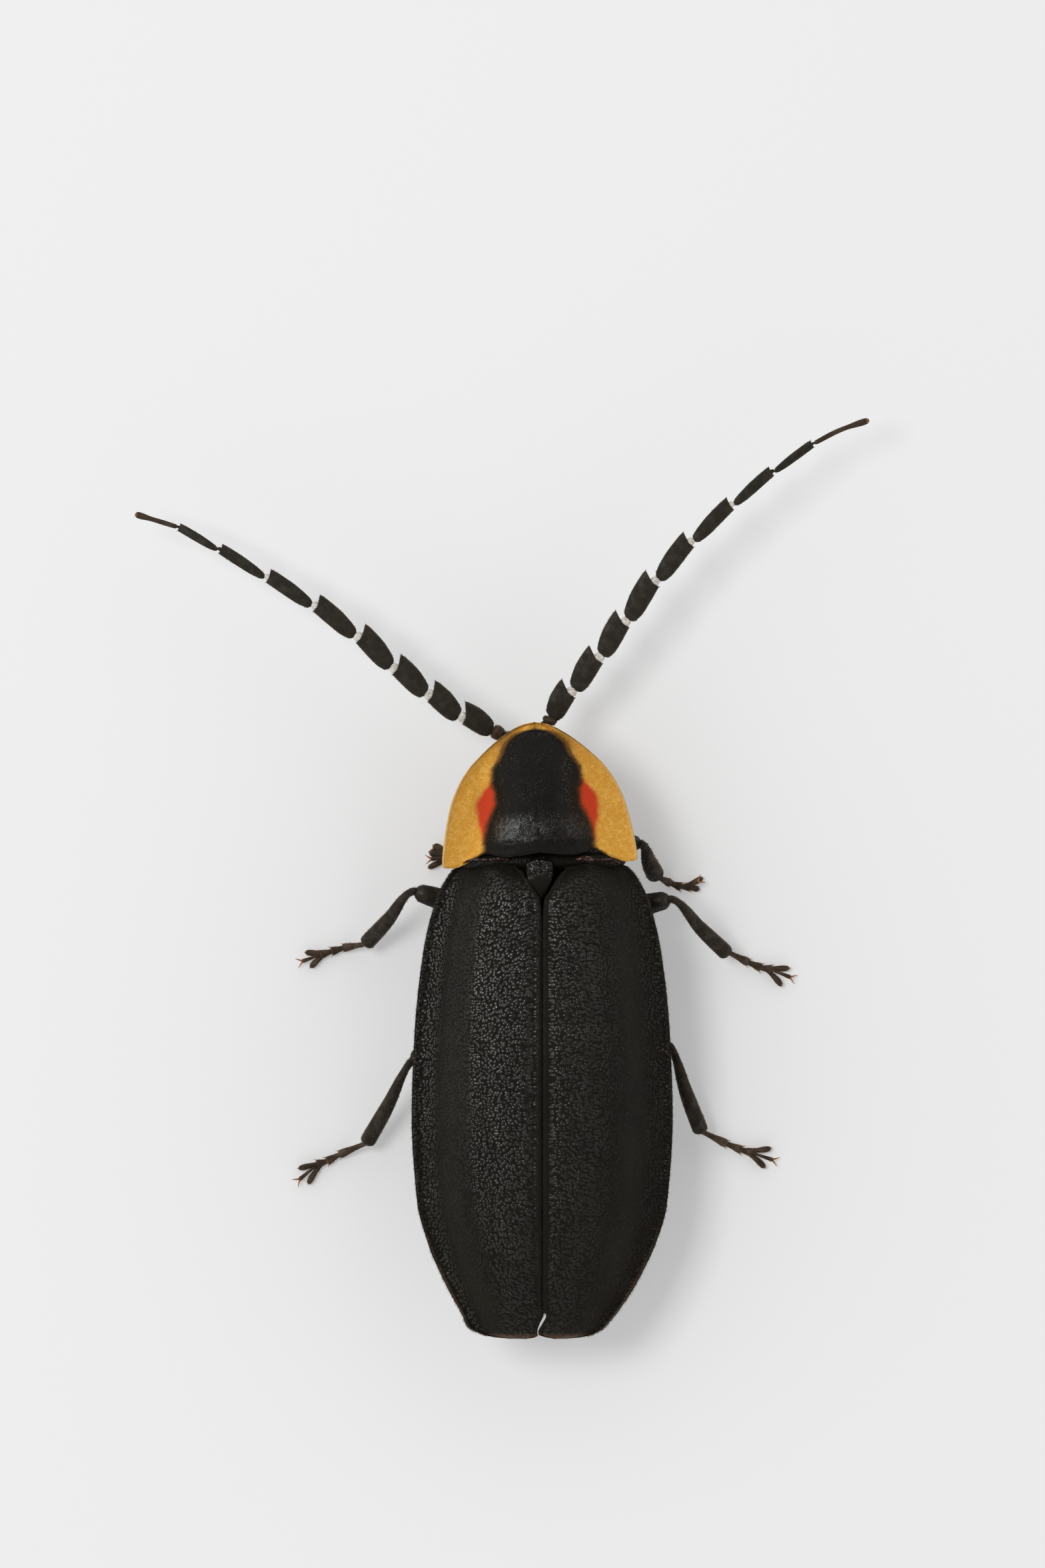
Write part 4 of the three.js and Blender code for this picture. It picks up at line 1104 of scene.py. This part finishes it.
# %% Feet and claws
def build_foot(name, plan):
    bm, claws_bm = bmesh.new(), bmesh.new()
    skins = leg_skins[name]
    ankle = plan["shin_end"][2] - 0.05
    stations = [np.array([*spot, FOOT_LEVEL if i else ankle]) for i, spot in enumerate(plan["foot"])]
    for i, (back, front) in enumerate(zip(stations, stations[1:])):
        ahead = unit(front - back)
        line = [back - ahead * (0.04 if i else 0.1), mixed(back, front, 0.5), front + ahead * 0.02]
        joint = bar(bm, line, HEART, lambda t: HEART(t) * 0.8, blunt=0.05, sides=20)
        skins.append((joint, 120, 0.04))
        for hand in (-1, 1):
            corner = front + turned(ahead, hand * pi / 2) * 0.06
            point = corner + turned(ahead, hand * 0.75) * 0.07
            spine = [corner - ahead * 0.03, mixed(corner, point, 0.5), point]
            bar(claws_bm, spine, SPINE, blunt=0.1, sides=8, steps=8)
    fork, toe = stations[-1], np.array(plan["toe"])
    back = unit(stations[-2] - fork)
    for spot in plan["lobes"]:
        tip = np.array([*spot, 0.07])
        out = unit(tip - fork)
        elbow = mixed(fork, tip, 0.45) - back * 0.01 + (out + back) * 0.03
        wide = 1.5 if name == "front_left" and spot[1] > 0 else 1.0
        lobe = bar(bm, [fork + back * 0.1, elbow, tip], lambda t: LOBE(t) * wide, LOBE, blunt=0.12)
        skins.append((lobe, 120, 0.035))
    bar(bm, [fork + back * 0.03, mixed(fork, toe, 0.5) + np.array([0, 0, 0.04]), toe], TOE, blunt=0.1)
    piece(bm, f"foot_{name}", FOOT, "limb", f"tarsus_{name}")
    ahead = unit((toe - fork) * (1, 1, 0))
    for hand in (-1, 1):
        way = turned(ahead, hand * CLAW_SPREAD) * CLAW_LENGTH
        point = toe + way * 0.85 + ahead * 0.03
        point[2] = max(0.03, toe[2] - 0.05)
        line = [toe - ahead * 0.03, toe + way * 0.5 + ahead * 0.01, point]
        bar(claws_bm, line, CLAW, blunt=0.1, sides=10, steps=14)
    piece(claws_bm, f"claws_{name}", CLAW_RED, "limb")


for name, plan in LEGS.items():
    build_leg(name, plan)
    build_foot(name, plan)

# %% [markdown]
# ## Head
# The head hides under the shield and shows only from the front and from below. Two big eyes bulge at its
# sides, the mouthparts point down and forward, and each feeler leaves a low socket between the eyes.

# %% Head and eyes
def eye_finish():
    shader = Shader("eye black")
    spot = shader.place(forebody=True)
    facets = shader.cells(spot, 26)
    bulges = shader.bump(1 - facets, 0.012)
    return shader.finished(shader.surface((0.006, 0.0055, 0.005), 0.2, bulges))


EYE = eye_finish()

head_bm = bmesh.new()
ball(head_bm, (0, 1.56, 0.97), (0.6, 0.5, 0.4))
ball(head_bm, (0, 1.25, 0.97), (0.4, 0.3, 0.27), 24, 14)
ball(head_bm, (0, 1.92, 0.92), (0.3, 0.16, 0.2), 24, 14)
for side in (-1, 1):
    socket = mirrored(side, (0.17, 1.9, 1.02), (0.19, 2.02, 1.05), (0.2, 2.1, 1.06))
    bar(head_bm, socket, through((0, 0.3), (1, 0.2)), blunt=0.3)
piece(head_bm, "head_capsule", PLATE_BLACK, "shell", "head", forebody=True)

for side, word in SIDES:
    bm = bmesh.new()
    ball(bm, (side * 0.56, 1.66, 0.95), (0.24, 0.28, 0.27), 40, 26)
    piece(bm, f"eye_globe_{word}", EYE, "eye", f"eye_{word}", forebody=True)

# %% Mouthparts
def palp(bm, points, widths):
    """A small jointed feeler beside the jaws, from one bar to the next."""
    for back, front, width in zip(points, points[1:], widths):
        swell = through((0, width * 0.6), (0.7, width), (1, width * 0.8))
        bar(bm, straight(np.array(back), np.array(front)), swell, blunt=0.25, sides=12, steps=12)


mouth_bm = bmesh.new()
ball(mouth_bm, (0, 1.84, 0.6), (0.24, 0.24, 0.12), 24, 14)
for side in (-1, 1):
    outer = mirrored(side, (0.13, 1.88, 0.56), (0.22, 1.98, 0.5), (0.27, 2.06, 0.42), (0.27, 2.15, 0.3))
    palp(mouth_bm, outer, (0.1, 0.11, 0.13))
    inner = mirrored(side, (0.06, 1.9, 0.5), (0.09, 1.98, 0.44), (0.09, 2.04, 0.36))
    palp(mouth_bm, inner, (0.06, 0.07))
    jaw = mirrored(side, (0.17, 1.9, 0.64), (0.2, 2.07, 0.64), (0.13, 2.18, 0.62), (0.0, 2.22, 0.6))
    bar(mouth_bm, jaw, through((0, 0.14), (0.5, 0.09), (1, 0.02)), blunt=0.1, sides=12)
piece(mouth_bm, "jaws_and_palps", LIMB, "limb", "mouthparts", forebody=True)

# %% [markdown]
# ## Trunk
# Under the wing cases lie the chest and the belly. The fore chest carries the front legs and hangs under
# the shield. The hind chest is a broad plate with a groove along its middle and slanting seams at its
# sides. The belly is seven overlapping rings, each with a raised hind edge.

# %% Chest and belly
def barrel(bm, back, front, half, top, under, sides, steps, relief, square=0.9):
    """A rounded box along the insect, with a relief that is added along its skin."""

    def place(t, angle):
        t = eased(t)
        y = mixed(back, front, t)
        close = round_ends(t, 0.06)
        middle = (top(y) + under(y)) / 2
        x = squarish(np.cos(angle), square) * half(y) * close
        z = squarish(np.sin(angle), square) * (top(y) - middle) * close
        swell = 1 + relief(x, y, np.sin(angle))
        return np.array([x * swell, y, middle + z * swell])

    sleeve(bm, sides, steps, place)
    return place


def chest_relief(x, y, turn):
    below = held(-turn)
    groove = -0.06 * hump(x, 0, 0.04) * below
    seams = -0.05 * hump(y + 0.25 * np.abs(x), -1.25, 0.04) * below
    side_seam = -0.05 * hump(np.abs(x) + 0.18 * y, 0.85, 0.04) * below
    return groove + seams + side_seam


def fore_relief(x, y, turn):
    return -0.04 * hump(y, 0.5, 0.04) * held(-turn)


FORE_BACK, FORE_FRONT = 0.06, 1.12
fore_half = through((FORE_BACK, 0.9), (0.5, 0.92), (FORE_FRONT, 0.6))
fore_top = through((FORE_BACK, 1.95), (0.6, 2.1), (FORE_FRONT, 1.6))
fore_under = through((FORE_BACK, 0.64), (0.7, 0.6), (FORE_FRONT, 0.68))
fore_bm = bmesh.new()
barrel(fore_bm, FORE_BACK, FORE_FRONT, fore_half, fore_top, fore_under, 64, 30, fore_relief)
piece(fore_bm, "fore_chest", PLATE_BLACK, "shell", "prosternum", forebody=True)

CHEST_BACK, CHEST_FRONT = -2.78, 0.08
trunk_top = through((-8.0, 1.42), (-7.5, 1.5), (-6, 1.62), (-4, 1.56), (-2, 1.5), (-0.4, 1.5), (0.1, 1.6))
chest_half = through((CHEST_BACK, 1.5), (-2.0, 1.56), (-1.0, 1.48), (-0.4, 1.15), (CHEST_FRONT, 0.92))
chest_under = through((CHEST_BACK, 0.62), (-1.8, 0.56), (-0.6, 0.6), (CHEST_FRONT, 0.66))
chest_bm = bmesh.new()
chest = (chest_half, trunk_top, chest_under, 96, 70, chest_relief)
chest_skin = barrel(chest_bm, CHEST_BACK, CHEST_FRONT, *chest)
piece(chest_bm, "hind_chest", PLATE_BLACK, "shell", "thorax")

# %% Belly
RINGS = 7
BELLY_BACK, BELLY_FRONT = -7.98, -2.72
belly_half = through(
    (BELLY_BACK, 0.3), (-7.8, 0.55), (-7.3, 0.86), (-6.3, 1.22), (-4.6, 1.44), (BELLY_FRONT, 1.5)
)
belly_under = through((BELLY_BACK, 1.08), (-7.0, 0.84), (-4.5, 0.7), (BELLY_FRONT, 0.64))


def ring_relief(x, y, turn):
    share = (BELLY_FRONT - y) / (BELLY_FRONT - BELLY_BACK) * RINGS
    rise = (share % 1) ** 2
    return 0.06 * rise - 0.03 + 0.02 * hump(np.abs(turn), 0, 0.12)


belly_bm = bmesh.new()
belly = (belly_half, trunk_top, belly_under, 72, 150, ring_relief, 0.95)
belly_skin = barrel(belly_bm, BELLY_BACK, BELLY_FRONT, *belly)
BELLY = shell_finish("belly brown black", 17.0, 0.014, (0.018, 0.012, 0.0075), 0.5)
piece(belly_bm, "belly_rings", BELLY, "shell", "abdomen")

# %% [markdown]
# ## Folded wings
# The flying wings lie folded under the wing cases as two smoky brown packets. Only their edges show, from
# low behind. Three veins stand up from each.

# %% Folded wings
WING_BACK, WING_FRONT = -7.85, -0.8
WING_DEPTH = 0.6  # how far the folded wings lie under the outside of the wing cases
wing_reach = through((WING_BACK, 0.45), (-7.0, 0.85), (-5.5, 1.15), (-2.5, 1.2), (WING_FRONT, 0.8))


def folded_wing(seam):
    bm = bmesh.new()

    def spot(s, t, drop):
        y = mixed(WING_BACK, WING_FRONT, eased(t))
        x = mixed(seam, wing_reach(y), s)
        lift = mixed(case_rim(y), case_crown(y), case_section(np.abs(x) / case_outer(y)))
        veins = 0.03 * sum(hump(s, vein, 0.025) for vein in (0.27, 0.57, 0.88))
        slope = np.clip((y - CASE_TIP) / 2, 0.55, 1)
        folds = 0.012 * np.sin(s * 40) + 0.02 * np.sin(s * 9 + y)
        return np.array([x, y, lift - WING_DEPTH * slope - drop + (veins + folds if drop == 0 else 0)])

    slab(bm, 50, 60, lambda s, t: spot(s, t, 0), lambda s, t: spot(s, t, 0.2))
    soften_edges(bm, 0.03)
    return bm


def wing_finish():
    shader = Shader("folded wing smoky")
    spot = shader.place()
    veins = shader.noise(shader.stretched(spot, (6, 0.6, 1)), 2, 3)
    color = shader.mix(veins.step(0.35, 0.65), (0.035, 0.024, 0.016), (0.09, 0.06, 0.04))
    return shader.finished(shader.surface(color, 0.4, shader.bump(veins, 0.02), Specular_IOR_Level=0.3))


SMOKY = wing_finish()
for (side, word), seam in zip(SIDES, (-0.16, 0.26)):
    wing_bm = folded_wing(seam)
    wing_bm.transform(Matrix.Scale(side, 4, (1, 0, 0)))
    piece(wing_bm, f"folded_wing_{word}", SMOKY, "membrane", f"hindwing_{word}")

# %% [markdown]
# ## Short hair
# Very short hair covers the insect. It lies flat and points backward on the body and outward on the limbs.
# It shows as a fringe at the edges. On the black middle of the shield the hair is pale, and its pale colour
# also paints the glints that the hairs catch, so it shows as fine pale dots. Each hair is a thin
# three-sided cone. One cone is made with an operator, and thousands of copies are then placed on the skins
# that the pieces were made from, so every hair starts on the surface. Hair that would reach into the ground
# is lifted clear of it. Random draws start from fixed seeds.

# %% Hair finish and hair cone
def hair_finish(name, dark, pale):
    shader = Shader(name)
    tone = shader.noise(shader.place(), 5, 1).step(0.35, 0.65)
    return shader.finished(shader.surface(shader.mix(tone, dark, pale), 0.45, Specular_IOR_Level=0.4))


DARK_HAIR = hair_finish("hair dark brown", (0.02, 0.015, 0.01), (0.06, 0.045, 0.03))
# Pale hair whose colour also paints the glints that the hairs catch on the shield's black middle.
PALE_HAIR_WITH_PAINTED_GLINTS = hair_finish("hair pale brown", (0.12, 0.09, 0.06), (0.3, 0.24, 0.17))
LIMB_HAIR = hair_finish("hair of limbs", (0.03, 0.022, 0.014), (0.11, 0.075, 0.045))


def hair_cone():
    """The corners and faces of one upright hair of length 1 and width 1."""
    bm = bmesh.new()
    cone = dict(segments=3, radius1=0.5, radius2=0.1, depth=1)
    bmesh.ops.create_cone(bm, cap_ends=True, cap_tris=True, **cone)
    bmesh.ops.translate(bm, verts=bm.verts, vec=(0, 0, 0.5))
    bmesh.ops.triangulate(bm, faces=bm.faces)
    bmesh.ops.recalc_face_normals(bm, faces=bm.faces)
    corners = np.array([v.co for v in bm.verts])
    faces = np.array([[v.index for v in face.verts] for face in bm.faces])
    bm.free()
    return corners, faces


CONE, CONE_FACES = hair_cone()
HAIR_WIDTH = 0.006
HAIR_ROOT = 0.004
HAIR_SCATTER = 0.22
HAIR_CLEARANCE = 0.002
PATCH = 0.003
print("a hair has", len(CONE_FACES), "faces")


# %% Placing hair
def hairs(skin, count, length, lean, rng, flat=False):
    """Corners of hairs on a skin, and their places on its unwrap. Hair leans along, across and up."""
    a, b = rng.uniform(0.03, 0.97, count), rng.uniform(0, 1, count)
    root = skin(a, b)
    along = unit(skin(a + 0.01, b) - skin(a - 0.01, b))
    across = unit(skin(a, b + 0.01) - skin(a, b - 0.01))
    up = unit(np.cross(along.T, across.T).T)
    up = up * np.sign(up[2] if flat else (up * (root - skin(a, (b + 0.5) % 1))).sum(0))
    way = lean[0] * along + lean[1] * across + lean[2] * up + rng.normal(0, HAIR_SCATTER, root.shape)
    way = unit(way)
    side = unit(np.cross(way.T, up.T).T)
    third = np.cross(side.T, way.T).T
    long = length * rng.uniform(0.6, 1.25, count)
    x, y, z = (CONE[:, i][:, None, None] for i in range(3))
    corners = root - up * HAIR_ROOT + HAIR_WIDTH * (x * side + y * third) + z * long * way
    corners[:, 2] += np.maximum(0, HAIR_CLEARANCE - corners[:, 2].min(0))
    patches = np.stack([a + PATCH * x[:, 0], b + PATCH * y[:, 0]])
    return corners.transpose(2, 0, 1).reshape(-1, 3), patches.transpose(2, 1, 0).reshape(-1, 2)


def coat(name, skins, material, seed, lean=(1, 0, 0.45), flat=False, forebody=False):
    """Joins the hairs of some skins into one piece."""
    rng = np.random.default_rng(seed)
    grown = [hairs(skin, count, length, lean, rng, flat) for skin, count, length in skins]
    corners, patches = (np.concatenate(parts) for parts in zip(*grown))
    number = len(corners) // len(CONE)
    faces = (CONE_FACES[None] + len(CONE) * np.arange(number)[:, None, None]).reshape(-1, 3)
    mesh = bpy.data.meshes.new(name)
    mesh.from_pydata(corners.tolist(), [], faces.tolist())
    mesh.uv_layers.new(name="OFBake").data.foreach_set("uv", patches[faces.ravel()].ravel())
    mesh.transform(TO_METRES @ FOREBODY if forebody else TO_METRES)
    mesh.materials.append(material)
    obj = placed(name, mesh)
    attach(obj, "root")
    print(name, number, "hairs")


# %% Hair of the body
def case_skin(side, start=0.0, end=1.0):
    def skin(a, b):
        return case_top(mixed(start, end, b), case_along(a), side) * np.array([[side], [1], [1]])

    return skin


def disc_skin(a, b):
    """The black middle of the shield."""
    y = mixed(0.25, 2.38, a)
    return shield_top((2 * b - 1) * 0.95 * black_edge(y) / shield_half(y), y)


def unrolled(place):
    """A sleeve's place function with its angle as a share of a full turn."""
    return lambda a, b: place(a, b * tau)


for side, word in SIDES:
    cover, lean = [(case_skin(side), 3000, 0.045)], (-1, 0, 0.3)
    coat(f"case_hair_{word}", cover, DARK_HAIR, 11 + side, lean, flat=True)
    fringe = [(case_skin(side, 0.98, 0.999), 1800, 0.065)]
    coat(f"case_fringe_{word}", fringe, DARK_HAIR, 21 + side, (-1, 0.55, 0.1), flat=True)
# Painted glints: the pale colour of this hair also stands in for the glints that the hairs catch.
disc = [(disc_skin, 1700, 0.016)]
coat("disc_hair", disc, PALE_HAIR_WITH_PAINTED_GLINTS, 31, (-1, 0, 0.8), flat=True, forebody=True)
belly_parts = [(unrolled(belly_skin), 1800, 0.09), (unrolled(chest_skin), 1400, 0.08)]
coat("belly_hair", belly_parts, LIMB_HAIR, 41, (-1, 0, 0.4))

# %% Hair of the limbs
for i, (name, skins) in enumerate(leg_skins.items()):
    coat(f"leg_hair_{name}", [(unrolled(s), n, size) for s, n, size in skins], LIMB_HAIR, 50 + i)
for i, (side, skins) in enumerate(feeler_skins.items()):
    blades = [(unrolled(skin), int(900 * width), 0.035) for skin, width in skins]
    coat(f"feeler_hair_{side}", blades, LIMB_HAIR, 60 + i, (1, 0, 0.6))
